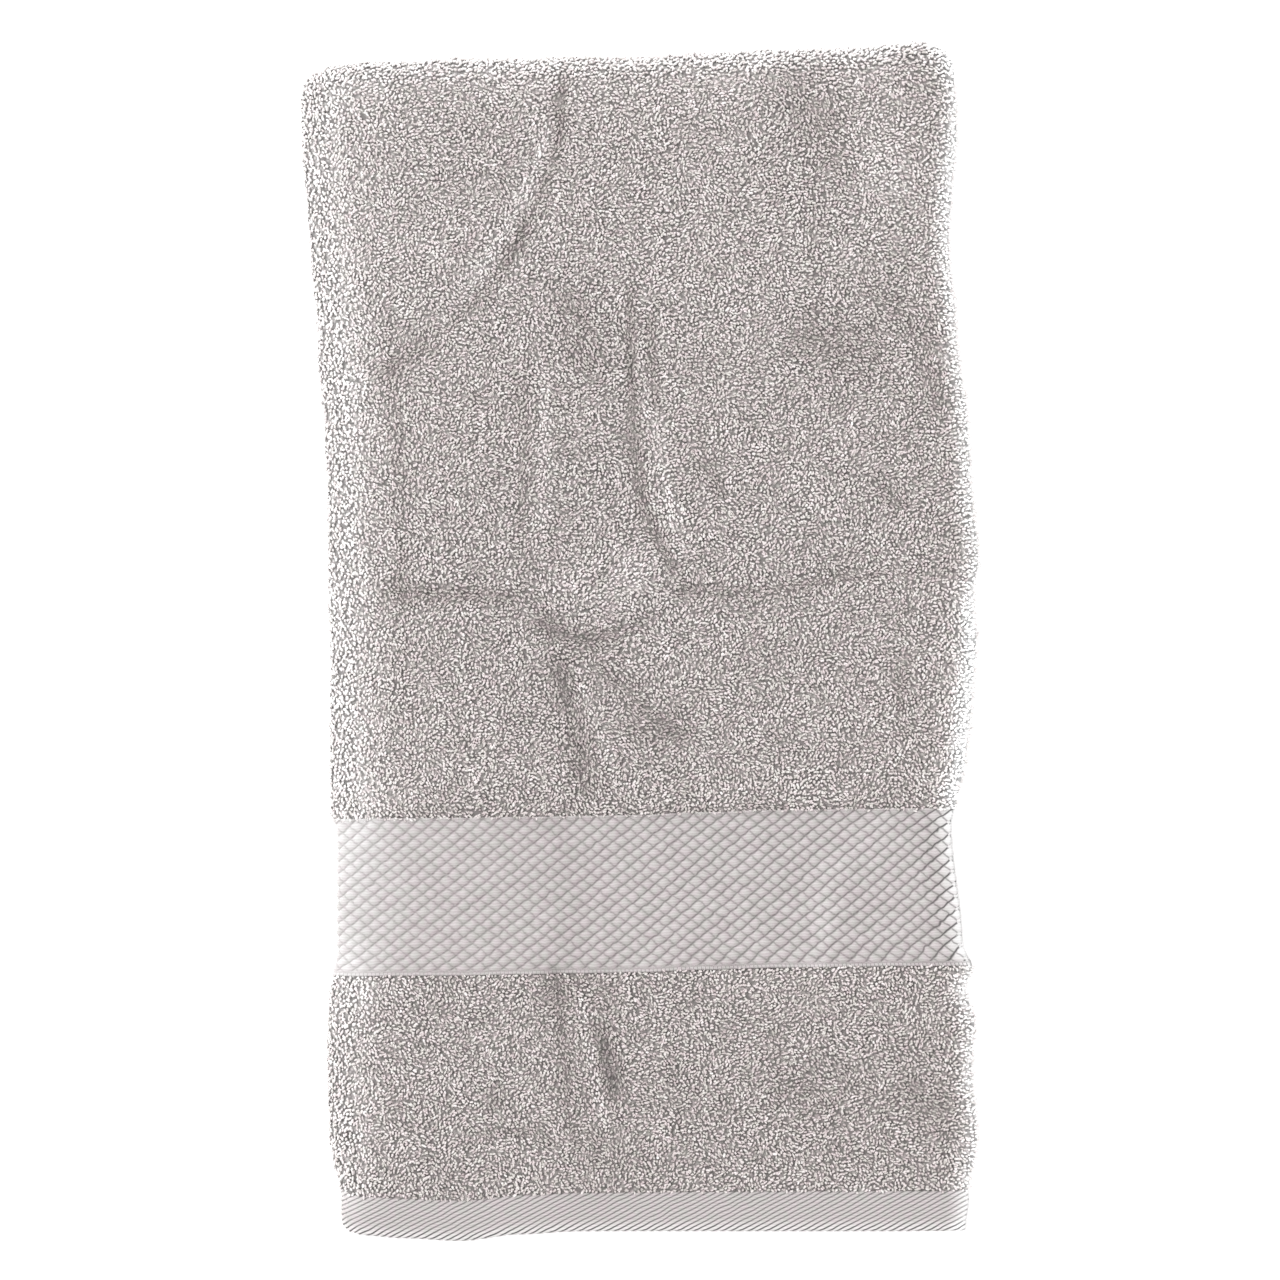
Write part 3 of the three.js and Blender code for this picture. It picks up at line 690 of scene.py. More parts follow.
@dataclass
class Patch:
    """A closed stretch of cloth over a grid of lines, with a finer front than back.

    The back's grid keeps every coarse-th line, and the rim between the two is rounded by rings
    that bulge outwards.
    """

    u: Array
    v: Array
    coarse: int = 1
    rings: int = 0
    bulge: float = 0.0

    def _grid(self, rows: int, columns: int, first: int, front: bool) -> tuple[Array, Array]:
        """Quads of a grid of vertices, and its rim in order, as vertex numbers."""
        index = first + np.arange(rows * columns).reshape(rows, columns)
        a, b, c, d = index[:-1, :-1], index[:-1, 1:], index[1:, 1:], index[1:, :-1]
        quads = np.stack((a, d, c, b) if front else (a, b, c, d), axis=-1).reshape(-1, 4)
        rim = np.concatenate(
            (index[0, :-1], index[:-1, -1], index[-1, :0:-1], index[:0:-1, 0])
        )
        return quads, rim

    def _outward(self, grid: Array, lines: Array) -> Array:
        """Which way is out of the grid on its first and last lines, and 0 between them."""
        out = (grid == lines[-1]).astype(float) - (grid == lines[0])
        return out * np.sign(lines[-1] - lines[0])

    def _stitch(self, fine: Array, coarse: Array) -> Array:
        """Triangles between two rims, the first with a whole number of steps to each of the other."""
        count, ratio = len(coarse), len(fine) // len(coarse)
        step = np.arange(len(fine))
        near = coarse[((step // ratio) + (step % ratio >= ratio // 2)) % count]
        fan = np.stack((fine, np.roll(fine, -1), near), axis=-1)
        closing = np.stack((np.roll(coarse, -1), coarse, fine[ratio // 2 :: ratio]), axis=-1)
        return np.concatenate((fan, closing))

    def build(
        self, name: str, surface: Callable[[Array, Array, Array], Array]
    ) -> tuple[bpy.types.Object, Array]:
        """Make the patch.

        Args:
            name: Name of the piece.
            surface: Points for places u and v at a level, 1 on the front and -1 on the back.

        Returns:
            The object, and each vertex's u and v.
        """
        u, v = np.meshgrid(self.u, self.v)
        rows, columns = u.shape
        front_quads, rim = self._grid(rows, columns, 0, front=True)
        places = [np.stack((u, v), axis=-1).reshape(-1, 2)]
        levels = [np.ones(rows * columns)]
        faces = [front_quads]
        out = np.stack((self._outward(u, self.u), self._outward(v, self.v)), axis=-1)
        out = out.reshape(-1, 2)[rim]
        ring, count = rim, rows * columns
        for step in range(self.rings):
            angle = math.pi * (step + 1) / (self.rings + 1)
            places.append(places[0][rim] + out * self.bulge * math.sin(angle))
            levels.append(np.full(len(rim), math.cos(angle)))
            following = count + np.arange(len(rim))
            faces.append(
                np.stack((ring, np.roll(ring, -1), np.roll(following, -1), following), axis=-1)
            )
            ring, count = following, count + len(rim)
        back_u, back_v = u[:: self.coarse, :: self.coarse], v[:: self.coarse, :: self.coarse]
        back_quads, back_rim = self._grid(*back_u.shape, count, front=False)
        places.append(np.stack((back_u, back_v), axis=-1).reshape(-1, 2))
        levels.append(np.full(back_u.size, -1.0))
        faces += [back_quads, self._stitch(ring, back_rim)]
        place, level = np.concatenate(places), np.concatenate(levels)
        piece = new_mesh(name, surface(place[:, 0], place[:, 1], level), faces)
        return piece, place


class Board:
    """A node tree, with short calls that add its nodes and join them."""

    def __init__(self, tree: bpy.types.NodeTree) -> None:
        """Start on a tree."""
        self.tree = tree

    def add(self, kind: str, inputs: dict | None = None, **settings: object) -> bpy.types.Node:
        """Add a node.

        Args:
            kind: Blender's name of the node type.
            inputs: Values for its inputs, or other nodes' outputs to join to them.
            settings: Properties of the node itself.

        Returns:
            The node.
        """
        node = self.tree.nodes.new(kind)
        for name, value in settings.items():
            setattr(node, name, value)
        for name, value in (inputs or {}).items():
            if isinstance(value, bpy.types.NodeSocket):
                self.tree.links.new(value, node.inputs[name])
            else:
                node.inputs[name].default_value = value
        return node

    def maths(
        self,
        operation: str,
        first: object,
        second: object = 0.0,
        third: object = 0.0,
        **settings: object,
    ) -> bpy.types.NodeSocket:
        """Join one to three numbers by a maths operation and give its result."""
        inputs = {0: first, 1: second, 2: third}
        return self.add("ShaderNodeMath", inputs, operation=operation, **settings).outputs[0]

    def vectors(self, operation: str, inputs: dict) -> bpy.types.NodeSocket:
        """Join vectors or colours by an operation and give its result."""
        return self.add("ShaderNodeVectorMath", inputs, operation=operation).outputs[0]

    def place(self) -> bpy.types.NodeSocket:
        """The place on the object, in metres."""
        return self.add("ShaderNodeTexCoord").outputs["Object"]

    def noise(self, scale: object, detail: float = 2.0) -> bpy.types.NodeSocket:
        """Smooth noise from 0 to 1 over the object, with scale cells a metre."""
        inputs = {"Vector": self.place(), "Scale": scale, "Detail": detail}
        return self.add("ShaderNodeTexNoise", inputs).outputs["Fac"]

    def ramp(
        self, share: bpy.types.NodeSocket, low: tuple[float, Colour], high: tuple[float, Colour]
    ) -> bpy.types.NodeSocket:
        """Colour that passes from low to high, each given by its share and its colour."""
        node = self.add("ShaderNodeValToRGB", {"Fac": share})
        for element, (position, colour) in zip(node.color_ramp.elements, (low, high)):
            element.position = position
            element.color = colour
        return node.outputs["Color"]

    def attribute(self, name: str) -> bpy.types.NodeSocket:
        """The number that each vertex holds under a name."""
        return self.add("ShaderNodeAttribute", attribute_name=name).outputs["Fac"]

    def group(self, tree: bpy.types.NodeTree, inputs: dict) -> bpy.types.NodeSocket:
        """Place a shared group and give its one output."""
        return self.add("ShaderNodeGroup", inputs, node_tree=tree).outputs[0]

    def give(self, value: bpy.types.NodeSocket) -> bpy.types.NodeTree:
        """Finish a group's tree by joining a value to its one output."""
        self.tree.links.new(value, self.tree.nodes.new("NodeGroupOutput").inputs[0])
        return self.tree


def new_group(
    name: str, inputs: dict[str, float | Colour], output: tuple[str, str]
) -> tuple[Board, bpy.types.bpy_prop_collection]:
    """Start a shader node group with named sockets.

    Args:
        name: Name of the group.
        inputs: Default value by socket name, a number or a colour.
        output: Name and socket type of its one output.

    Returns:
        A board on the group's tree, and the sockets that hold its inputs.
    """
    tree = bpy.data.node_groups.new(name, "ShaderNodeTree")
    for label, value in inputs.items():
        kind = "NodeSocketColor" if isinstance(value, tuple) else "NodeSocketFloat"
        socket = tree.interface.new_socket(label, in_out="INPUT", socket_type=kind)
        socket.default_value = value
    tree.interface.new_socket(output[0], in_out="OUTPUT", socket_type=output[1])
    return Board(tree), tree.nodes.new("NodeGroupInput").outputs


def new_material(
    name: str, constants: dict[str, object]
) -> tuple[bpy.types.Material, Board, bpy.types.Node]:
    """Start a material.

    Args:
        name: Name of the material.
        constants: Values of its Principled shader's inputs by name.

    Returns:
        The material, a board on its nodes, and the shader.
    """
    material = bpy.data.materials.new(name)
    material.use_nodes = True
    shader = next(n for n in material.node_tree.nodes if n.type == "BSDF_PRINCIPLED")
    for label, value in constants.items():
        shader.inputs[label].default_value = value
    return material, Board(material.node_tree), shader


@dataclass(frozen=True)
class YarnFinish:
    """Cotton yarn: its colour, how dark the painted shade deep in the cloth makes it, and how uneven it
    is.
    """

    colour: Colour
    root_shade: float
    roughness: float = 0.9
    sheen: float = 0.12
    sheen_roughness: float = 0.5
    bump: float = 0.35
    bump_depth_m: float = 0.0002


class Grooves(NamedTuple):
    """A set of grooves: the attribute that holds its phase, its width and how dark the painted shade in
    it is.
    """

    phase: str
    width: float
    depth: float


@dataclass
class CottonGroups:
    """The node groups that every material of the towel uses."""

    tint_scale: float = 240.0
    cool_tint: tuple[float, Colour] = (0.34, (0.965, 1.0, 0.97, 1.0))
    warm_tint: tuple[float, Colour] = (0.66, (1.03, 0.985, 1.015, 1.0))
    fading: float = 1.3
    warmest: float = 1.25
    fibre_detail: float = 3.0
    waver_scale: float = 260.0

    def __post_init__(self) -> None:
        """Build the groups once."""
        self.tone = self._yarn_tone()
        self.fibre = self._fibre_grain()
        self.threads = self._thread_lines()
        self.grooves = self._groove_lines()

    def _yarn_tone(self) -> bpy.types.NodeTree:
        """Yarn colour with faint warm and cool patches, darkened towards the roots by painted shade.

        Colour = yarn * (root + (1 - root) * tip) * (1 + tone) * tint. Root and tip paint the
        shade deep in the cloth, and tone holds painted shade and light with a part at random.
        The tint swings between a pinkish and a greenish grey over patches of about 4 mm. Its
        saturation is 1 - fading * tone, so that creases darkened by painted shade are warmer
        than pale ones.
        """
        sockets = {"Yarn": WHITE, "Root": 0.5, "Tip": 1.0, "Tone": 0.0}
        board, given = new_group("Yarn tone", sockets, ("Color", "NodeSocketColor"))
        tint = board.ramp(board.noise(self.tint_scale), self.cool_tint, self.warm_tint)
        deep = board.maths("SUBTRACT", 1.0, given["Root"])
        deep = board.maths("MULTIPLY", deep, given["Tip"])
        deep = board.maths("ADD", deep, given["Root"])
        shade = board.maths("MULTIPLY", deep, board.maths("ADD", given["Tone"], 1.0))
        tinted = board.vectors("MULTIPLY", {0: given["Yarn"], 1: tint})
        scaled = board.vectors("SCALE", {0: tinted, "Scale": shade})
        saturation = board.maths("MULTIPLY_ADD", given["Tone"], -self.fading, 1.0)
        saturation = board.maths("MINIMUM", saturation, self.warmest)
        saturation = board.maths("MAXIMUM", saturation, 0.0)
        faded = board.add("ShaderNodeHueSaturation", {"Color": scaled, "Saturation": saturation})
        return board.give(faded.outputs["Color"])

    def _fibre_grain(self) -> bpy.types.NodeTree:
        """Height of the fine fibres, as noise with Scale cells a metre."""
        board, given = new_group("Fibre grain", {"Scale": 2500.0}, ("Height", "NodeSocketFloat"))
        return board.give(board.noise(given["Scale"], self.fibre_detail))

    def _thread_lines(self) -> bpy.types.NodeTree:
        """Height of threads laid side by side: half a sine wave of Place over Pitch, wavering."""
        sockets = {"Place": 0.0, "Pitch": 0.1, "Waver": 0.3}
        board, given = new_group("Thread lines", sockets, ("Height", "NodeSocketFloat"))
        waver = board.maths("MULTIPLY", board.noise(self.waver_scale), given["Waver"])
        turns = board.maths("DIVIDE", given["Place"], given["Pitch"])
        turns = board.maths("MULTIPLY", board.maths("ADD", turns, waver), 2 * math.pi)
        return board.give(board.maths("MULTIPLY_ADD", board.maths("SINE", turns), 0.5, 0.5))

    def _groove_lines(self) -> bpy.types.NodeTree:
        """1 in a groove, where Phase is half-way between whole numbers, and 0 away from it.

        Width is the share of the phase over which the groove fades out on either side.
        """
        sockets = {"Phase": 0.0, "Width": 0.1}
        board, given = new_group("Groove lines", sockets, ("Groove", "NodeSocketFloat"))
        away = board.maths("PINGPONG", given["Phase"], 0.5)
        start = board.maths("SUBTRACT", 0.5, given["Width"])
        inputs = {"Value": away, "From Min": start, "From Max": 0.5}
        fade = board.add("ShaderNodeMapRange", inputs, interpolation_type="SMOOTHSTEP")
        return board.give(fade.outputs["Result"])


@dataclass
class CottonMaterials:
    """The towel's finishes: standing loops, woven border, turned hem and bare ground."""

    groups: CottonGroups = field(default_factory=CottonGroups)
    # Each finish's root_shade is painted shade deep in the cloth, and the ground is coloured darker than
    # the loops as painted shade under them
    loops: YarnFinish = YarnFinish((0.775, 0.718, 0.702, 1.0), root_shade=0.34)
    ground: YarnFinish = YarnFinish((0.55, 0.51, 0.497, 1.0), root_shade=0.35)
    border: YarnFinish = YarnFinish((0.425, 0.396, 0.393, 1.0), root_shade=0.52)
    hem: YarnFinish = YarnFinish((0.485, 0.454, 0.45, 1.0), root_shade=0.5)
    loop_grain: float = 1900.0
    woven_grain: float = 900.0
    crumb_scale: float = 450.0
    crumb_depth: float = 1.5
    thread_pitch_cm: float = 0.16
    thread_waver: float = 1.2
    # How much painted shade between the threads and painted light on their crests
    thread_tone: float = 0.18
    groove_drop: float = 3.0
    slash_width: float = 0.16
    backslash_width: float = 0.14
    backslash_depth: float = 0.6
    rib_width: float = 0.27
    # Painted shade and light on the border's diamonds
    puff_shade: float = 0.22
    puff_light: float = 0.2

    def _start(
        self, name: str, finish: YarnFinish
    ) -> tuple[bpy.types.Material, Board, bpy.types.Node]:
        """A material whose shader has the finish's constants."""
        constants = {
            "Roughness": finish.roughness,
            "Sheen Weight": finish.sheen,
            "Sheen Roughness": finish.sheen_roughness,
        }
        return new_material(name, constants)

    def _finish(
        self, board: Board, shader: bpy.types.Node, finish: YarnFinish, colour: dict, height: object
    ) -> None:
        """Join the yarn tone to the shader's colour and a height to its bump."""
        inputs = {"Yarn": finish.colour, "Root": finish.root_shade}
        tone = board.group(self.groups.tone, inputs | colour)
        board.tree.links.new(tone, shader.inputs["Base Color"])
        relief = {"Height": height, "Strength": finish.bump, "Distance": finish.bump_depth_m}
        bump = board.add("ShaderNodeBump", relief)
        board.tree.links.new(bump.outputs["Normal"], shader.inputs["Normal"])

    def terry(self) -> bpy.types.Material:
        """Standing loops: yarn tone by loop, painted shade at the roots, and fibre grain.

        The tone by loop holds painted shade and light as well as a part at random.
        """
        material, board, shader = self._start("Terry loops", self.loops)
        fibre = board.group(self.groups.fibre, {"Scale": self.loop_grain})
        colour = {"Tip": board.attribute("tip"), "Tone": board.attribute("tone")}
        self._finish(board, shader, self.loops, colour, fibre)
        return material

    def bare_ground(self) -> bpy.types.Material:
        """The ground under the loops, with the crumb of low loops as cells in its bump.

        The crumb also paints shade round each cell, and the ground's tone holds painted shade and
        light.
        """
        material, board, shader = self._start("Terry ground", self.ground)
        inputs = {"Vector": board.place(), "Scale": self.crumb_scale}
        away = board.add("ShaderNodeTexVoronoi", inputs).outputs["Distance"]
        crumb = board.maths("MULTIPLY_ADD", away, -self.crumb_depth, 1.0, use_clamp=True)
        colour = {"Tip": crumb, "Tone": board.attribute("tone")}
        self._finish(board, shader, self.ground, colour, crumb)
        return material

    def woven(
        self, name: str, finish: YarnFinish, grooves: Sequence[Grooves] = ()
    ) -> bpy.types.Material:
        """Flat-woven cloth: fine threads that run across it, and grooves darkened by painted shade.

        Args:
            name: Name of the material.
            finish: Its yarn.
            grooves: Its sets of grooves.

        Returns:
            The material.
        """
        material, board, shader = self._start(name, finish)
        groove = 0.0
        for line in grooves:
            inputs = {"Phase": board.attribute(line.phase), "Width": line.width}
            shade = board.maths("MULTIPLY", board.group(self.groups.grooves, inputs), line.depth)
            groove = board.maths("MAXIMUM", groove, shade)
        if grooves:
            groove = board.maths("MULTIPLY", groove, board.attribute("groove"))
        uv = board.add("ShaderNodeUVMap", uv_map="cloth").outputs["UV"]
        along = board.add("ShaderNodeSeparateXYZ", {"Vector": uv}).outputs["Y"]
        inputs = {"Place": along, "Pitch": self.thread_pitch_cm, "Waver": self.thread_waver}
        threads = board.group(self.groups.threads, inputs)
        fibre = board.group(self.groups.fibre, {"Scale": self.woven_grain})
        height = board.maths("ADD", threads, fibre)
        drop = board.maths("MULTIPLY", groove, self.groove_drop)
        height = board.maths("SUBTRACT", height, drop)
        # Painted shade between the threads and painted light on their crests
        tone = board.maths("MULTIPLY_ADD", threads, self.thread_tone, -self.thread_tone / 2)
        tone = board.maths("ADD", tone, board.attribute("tone"))
        colour = {"Tip": board.maths("SUBTRACT", 1.0, groove), "Tone": tone}
        self._finish(board, shader, finish, colour, height)
        return material


@dataclass
class ClothSheet:
    """The cloth itself, all four layers of it, sunk where loops or a woven face cover it."""

    cloth: FoldedCloth
    loop_bed: float = 1.3
    woven_bed: float = 0.45
    selvedge_share: float = 0.5
    underside_from: float = 0.2
    inside_to: float = 1.5
    bulge: float = 0.9
    rings: int = 3
    flat_steps: int = 60
    hidden_steps: int = 30
    fold_steps: int = 8
    hem_steps: int = 4
    band_steps: int = 23
    border_steps: int = 16
    field_steps: int = 73

    def bed(self, u: Array, v: Array) -> Array:
        """How far the outer face lies under the tips of what covers it.

        It is zero on the underside and on the inner panels, which nothing covers.
        """
        cloth = self.cloth
        y = cloth.height_above_hem(v)
        flat = np.maximum(cloth.hem_share(y), cloth.border_share(y))
        depth = lerp(self.loop_bed, self.woven_bed, flat)
        nose, turn = cloth.nose_arc, cloth.turn_arc
        lower = smoothstep(-v, self.underside_from * turn, turn)
        underneath = lower * smoothstep(u, self.underside_from * nose, nose)
        inside = smoothstep(-u, nose, self.inside_to * nose)
        selvedge = smoothstep(u, cloth.edge_u - cloth.selvedge_width, cloth.edge_u)
        rise = self.selvedge_share * selvedge
        return depth * (1.0 - underneath) * (1.0 - inside) * (1.0 - rise)

    def surface(self, u: Array, v: Array, level: Array) -> Array:
        """Points of the sheet at a level through it."""
        return self.cloth.fold(u, v, level, -self.bed(u, v) * np.maximum(level, 0.0))

    def lines_u(self) -> Array:
        """Grid lines across the cloth, from the outer selvedge to the inner one."""
        arc, edge = self.cloth.nose_arc, self.cloth.edge_u
        return np.concatenate(
            (
                np.linspace(edge, arc, self.flat_steps, endpoint=False),
                np.linspace(arc, -arc, 2 * self.fold_steps, endpoint=False),
                np.linspace(-arc, -edge, self.hidden_steps + 1),
            )
        )

    def lines_v(self) -> Array:
        """Grid lines along the cloth, from the lower hem's edge to the upper one."""
        cloth, half = self.cloth, self.cloth.pile_step / 2
        hem, low, high = cloth.hem_top, cloth.border_bottom, cloth.border_top
        fine = np.concatenate(
            (
                np.linspace(0.0, hem - half, self.hem_steps),
                np.linspace(hem + half, low - half, self.band_steps),
                np.linspace(low + half, high - half, self.border_steps),
                np.linspace(high + half, cloth.turn_start, self.field_steps, endpoint=False),
            )
        )
        turn = np.linspace(-cloth.turn_arc, cloth.turn_arc, 4 * self.fold_steps, endpoint=False)
        lower = -cloth.upper(fine[::2])
        upper = cloth.upper(np.append(fine, cloth.turn_start)[::-1])
        lines = np.concatenate((lower, turn, upper))
        return lines if len(lines) % 2 else np.delete(lines, 1)

    def build(self, materials: CottonMaterials) -> bpy.types.Object:
        """Make the sheet, with the ground's finish under its pile and the woven ones elsewhere."""
        patch = Patch(self.lines_u(), self.lines_v(), 2, self.rings, self.bulge)
        sheet, place = patch.build("cloth", self.surface)
        set_uv(sheet, place)
        # The sheet's tone holds the painted shade and light of the creases and edges
        set_attribute(sheet, "tone", self.cloth.tone(place[:, 0], place[:, 1]))
        y = self.cloth.height_above_hem(place[:, 1])
        mesh = sheet.data
        for material in (
            materials.bare_ground(),
            materials.woven("Woven ground", materials.border),
            materials.woven("Hem ground", materials.hem),
        ):
            mesh.materials.append(material)
        start = np.empty(len(mesh.polygons), np.int32)
        mesh.polygons.foreach_get("loop_start", start)
        height = y[corner_vertices(mesh)[start]]
        band = np.where(
            height < self.cloth.hem_top,
            2,
            (height > self.cloth.border_bottom) & (height < self.cloth.border_top),
        )
        mesh.polygons.foreach_set("material_index", band.astype(np.int32))
        return sheet


@dataclass
class WovenBorder:
    """The dobby border: rows of raised diamonds between crossing slanting grooves."""

    cloth: FoldedCloth
    puff_width: float = 9.9
    puff_height: float = 7.3
    relief: float = 0.8
    sharpness: float = 2.6
    waver: float = 0.3
    sideways_noise: SmoothNoise = SmoothNoise(11, 3.0)
    lengthwise_noise: SmoothNoise = SmoothNoise(12, 2.5)
    header: float = 2.8
    header_pitch: float = 2.4
    header_low: float = 0.35
    header_rise: float = 0.4
    header_edge: tuple[float, float] = (-0.3, 0.5)
    header_gap: float = 0.2
    line_width: float = 0.7
    line_depth: float = 0.8
    puff_middle: float = 0.6
    patch_tone: float = 0.03
    patch_stretch: float = 2.5
    patch_noise: SmoothNoise = SmoothNoise(13, 4.0)
    # How dark the grooves' painted shade is from left to right, and near the selvedge
    left_depth: float = 0.6
    right_depth: float = 1.05
    right_from: float = 0.8
    spiky_width: float = 30.0
    spiky_depth: float = 0.8
    depth: float = 0.9
    overlap: float = 1.0
    wrap: float = 6.0
    across_steps: int = 336
    along_steps: int = 96
    coarse: int = 6

    def phases(self, u: Array, y: Array) -> tuple[Array, Array]:
        """Phases p = a + b and q = a - b of the crossing grooves.

        a = u / puff_width and b = y / puff_height, both wavering a little. The diamonds'
        middles are where p and q are whole numbers, and the grooves half-way between.
        """
        wander = self.waver * self.sideways_noise.at(u, y)
        lift = self.waver * self.lengthwise_noise.at(u, y)
        a, b = (u + wander) / self.puff_width, (y + lift) / self.puff_height
        return a + b, a - b

    def diamonds(self, u: Array, y: Array) -> Array:
        """Height of the diamonds, from 0 in the grooves to 1, the product of both ridges."""
        p, q = self.phases(u, y)
        return ridge(p, self.sharpness) * ridge(q, self.sharpness)

    def height(self, u: Array, v: Array) -> Array:
        """Share of the relief: diamonds in the border, and short upright ribs in its header."""
        y, bottom = self.cloth.height_above_hem(v), self.cloth.border_bottom
        wave = np.abs(np.sin(math.pi * u / self.header_pitch))
        ribs = self.header_low + self.header_rise * wave
        low, high = self.header_edge
        edge = smoothstep(y, bottom + low, bottom + high)
        line = np.exp(-(((y - bottom) / self.line_width) ** 2))
        return lerp(ribs, self.diamonds(u, y), edge) * (1.0 - self.line_depth * line)

    def painted_groove_shade(self, u: Array) -> Array:
        """How dark the painted shade in the grooves is, from the lengthwise fold to the selvedge."""
        edge = self.cloth.edge_u
        near = smoothstep(u, edge - self.spiky_width, edge)
        share = smoothstep(u, 0.0, self.right_from * edge)
        depth = lerp(self.left_depth, self.right_depth, share)
        return depth + self.spiky_depth * near

    def surface(self, u: Array, v: Array, level: Array) -> Array:
        """Points of the border's face, and of its back a little way down in the cloth."""
        face = self.relief * (self.height(u, v) - 0.5)
        return self.cloth.fold(u, v, 1.0, np.where(level > 0, face, -self.depth))

    def build(self, materials: CottonMaterials) -> bpy.types.Object:
        """Make the border of the upper pair, round its lengthwise fold too."""
        cloth = self.cloth
        u = cloth.lines_across(self.wrap, self.across_steps)
        top, bottom = cloth.border_top + self.overlap, cloth.border_bottom - self.header
        y = np.linspace(top, bottom, self.along_steps + 1)
        piece, place = Patch(u, cloth.upper(y), self.coarse).build("border", self.surface)
        set_uv(piece, place)
        u, v = place[:, 0], place[:, 1]
        y = cloth.height_above_hem(v)
        backslash, slash = self.phases(u, y)
        header = y < cloth.border_bottom - self.header_gap
        set_attribute(piece, "backslash", np.where(header, 0.0, backslash))
        set_attribute(piece, "slash", np.where(header, u / self.header_pitch, slash))
        # Painted light on the diamonds' raised middles and on their upper-left sides, and painted shade
        # round them
        lit = np.where(header, 0.0, np.round(slash) - slash)
        puffs = materials.puff_shade * (self.height(u, v) - self.puff_middle)
        puffs = puffs + materials.puff_light * lit
        patches = self.patch_tone * self.patch_noise.at(u / self.patch_stretch, v)
        set_attribute(piece, "tone", cloth.tone(u, v) + puffs + patches)
        set_attribute(piece, "groove", self.painted_groove_shade(u))
        grooves = (
            Grooves("slash", materials.slash_width, 1.0),
            Grooves("backslash", materials.backslash_width, materials.backslash_depth),
        )
        piece.data.materials.append(materials.woven("Woven border", materials.border, grooves))
        return piece


@dataclass
class TurnedHem:
    """The turned hem: slanting twill ribs that run on round its folded edge."""

    cloth: FoldedCloth
    rib_pitch: float = 2.78
    slant: float = math.radians(28.0)
    waver: float = 0.25
    waver_noise: SmoothNoise = SmoothNoise(21, 7.0)
    relief: float = 0.7
    relief_middle: float = 0.6
    sharpness: float = 2.5
    depth: float = 0.9
    bulge: float = 1.1
    serration: float = 1.2
    # Painted light on the hem's rolled edge, and how dark the painted shade of its grooves is, darker
    # near that edge
    painted_edge_light: float = 0.3
    pale_height: float = 7.0
    painted_groove_shade: float = 1.3
    edge_painted_groove_shade: float = 0.7
    tuck: float = 5.0
    wrap: float = 6.0
    across_steps: int = 400
    along_steps: int = 40
    coarse: int = 8

    def phase(self, u: Array, way: Array) -> Array:
        """Phase of the slanting ribs, whole on a rib and half-way between in a groove.

        It is (y - x tan(slant)) / rib_pitch, wavering a little, so that the ribs keep their
        slant where the cloth bends.
        """
        point = self.cloth.fold(u, self.cloth.upper(np.maximum(way, 0.0)))
        y = point[..., 1] + np.minimum(way, 0.0) + self.waver * self.waver_noise.at(u, way)
        return (y - point[..., 0] * math.tan(self.slant)) / self.rib_pitch

    def surface(self, u: Array, way: Array, level: Array) -> Array:
        """Points of the hem, by the way up its front face.

        way runs from the hem's top down to 0 at its edge, then half round the edge as an
        ellipse, and then up its inner face.
        """
        cloth = self.cloth
        half = cloth.hem_thickness / 2
        arc = math.pi * half
        angle = math.pi * np.clip(-way / arc, 0.0, 1.0)
        ribs = ridge(self.phase(u, way), self.sharpness)
        bulge = self.bulge + np.where(level > 0, self.serration * (ribs - 0.5), 0.0)
        y = np.maximum(way, 0.0) + np.maximum(-way - arc, 0.0) - bulge * np.sin(angle)
        lift = np.where(level > 0, self.relief * (ribs - self.relief_middle), -self.depth)
        return cloth.fold(u, cloth.upper(y), np.cos(angle), lift * np.cos(angle))

    def build(self, materials: CottonMaterials) -> bpy.types.Object:
        """Make the hem of the upper pair, round its lengthwise fold too."""
        cloth = self.cloth
        arc = math.pi * cloth.hem_thickness / 2
        u = cloth.lines_across(self.wrap, self.across_steps)
        way = np.linspace(cloth.hem_top, -arc - self.tuck, self.along_steps + 1)
        piece, place = Patch(u, way, self.coarse).build("hem", self.surface)
        set_uv(piece, place)
        u, way = place[:, 0], place[:, 1]
        set_attribute(piece, "slash", self.phase(u, way))
        # Towards the rolled edge the hem is painted paler and its grooves darker: painted light and
        # shade
        near = 1.0 - smoothstep(way, 0.0, self.pale_height)
        tone = cloth.tone(u, cloth.upper(np.maximum(way, 0.0)))
        set_attribute(piece, "tone", tone + self.painted_edge_light * near)
        set_attribute(piece, "groove", self.painted_groove_shade + self.edge_painted_groove_shade * near)
        grooves = (Grooves("slash", materials.rib_width, 1.0),)
        piece.data.materials.append(materials.woven("Turned hem", materials.hem, grooves))
        return piece


class Density(NamedTuple):
    """The ground in square mm that each loop takes, and how far the loops sink, in mm."""

    ground: float
    bed: float


class PileBand(NamedTuple):
    """A stretch of cloth that loops stand on."""

    name: str
    u_from: float
    u_to: float
    v_from: float
    v_to: float
    density: Density


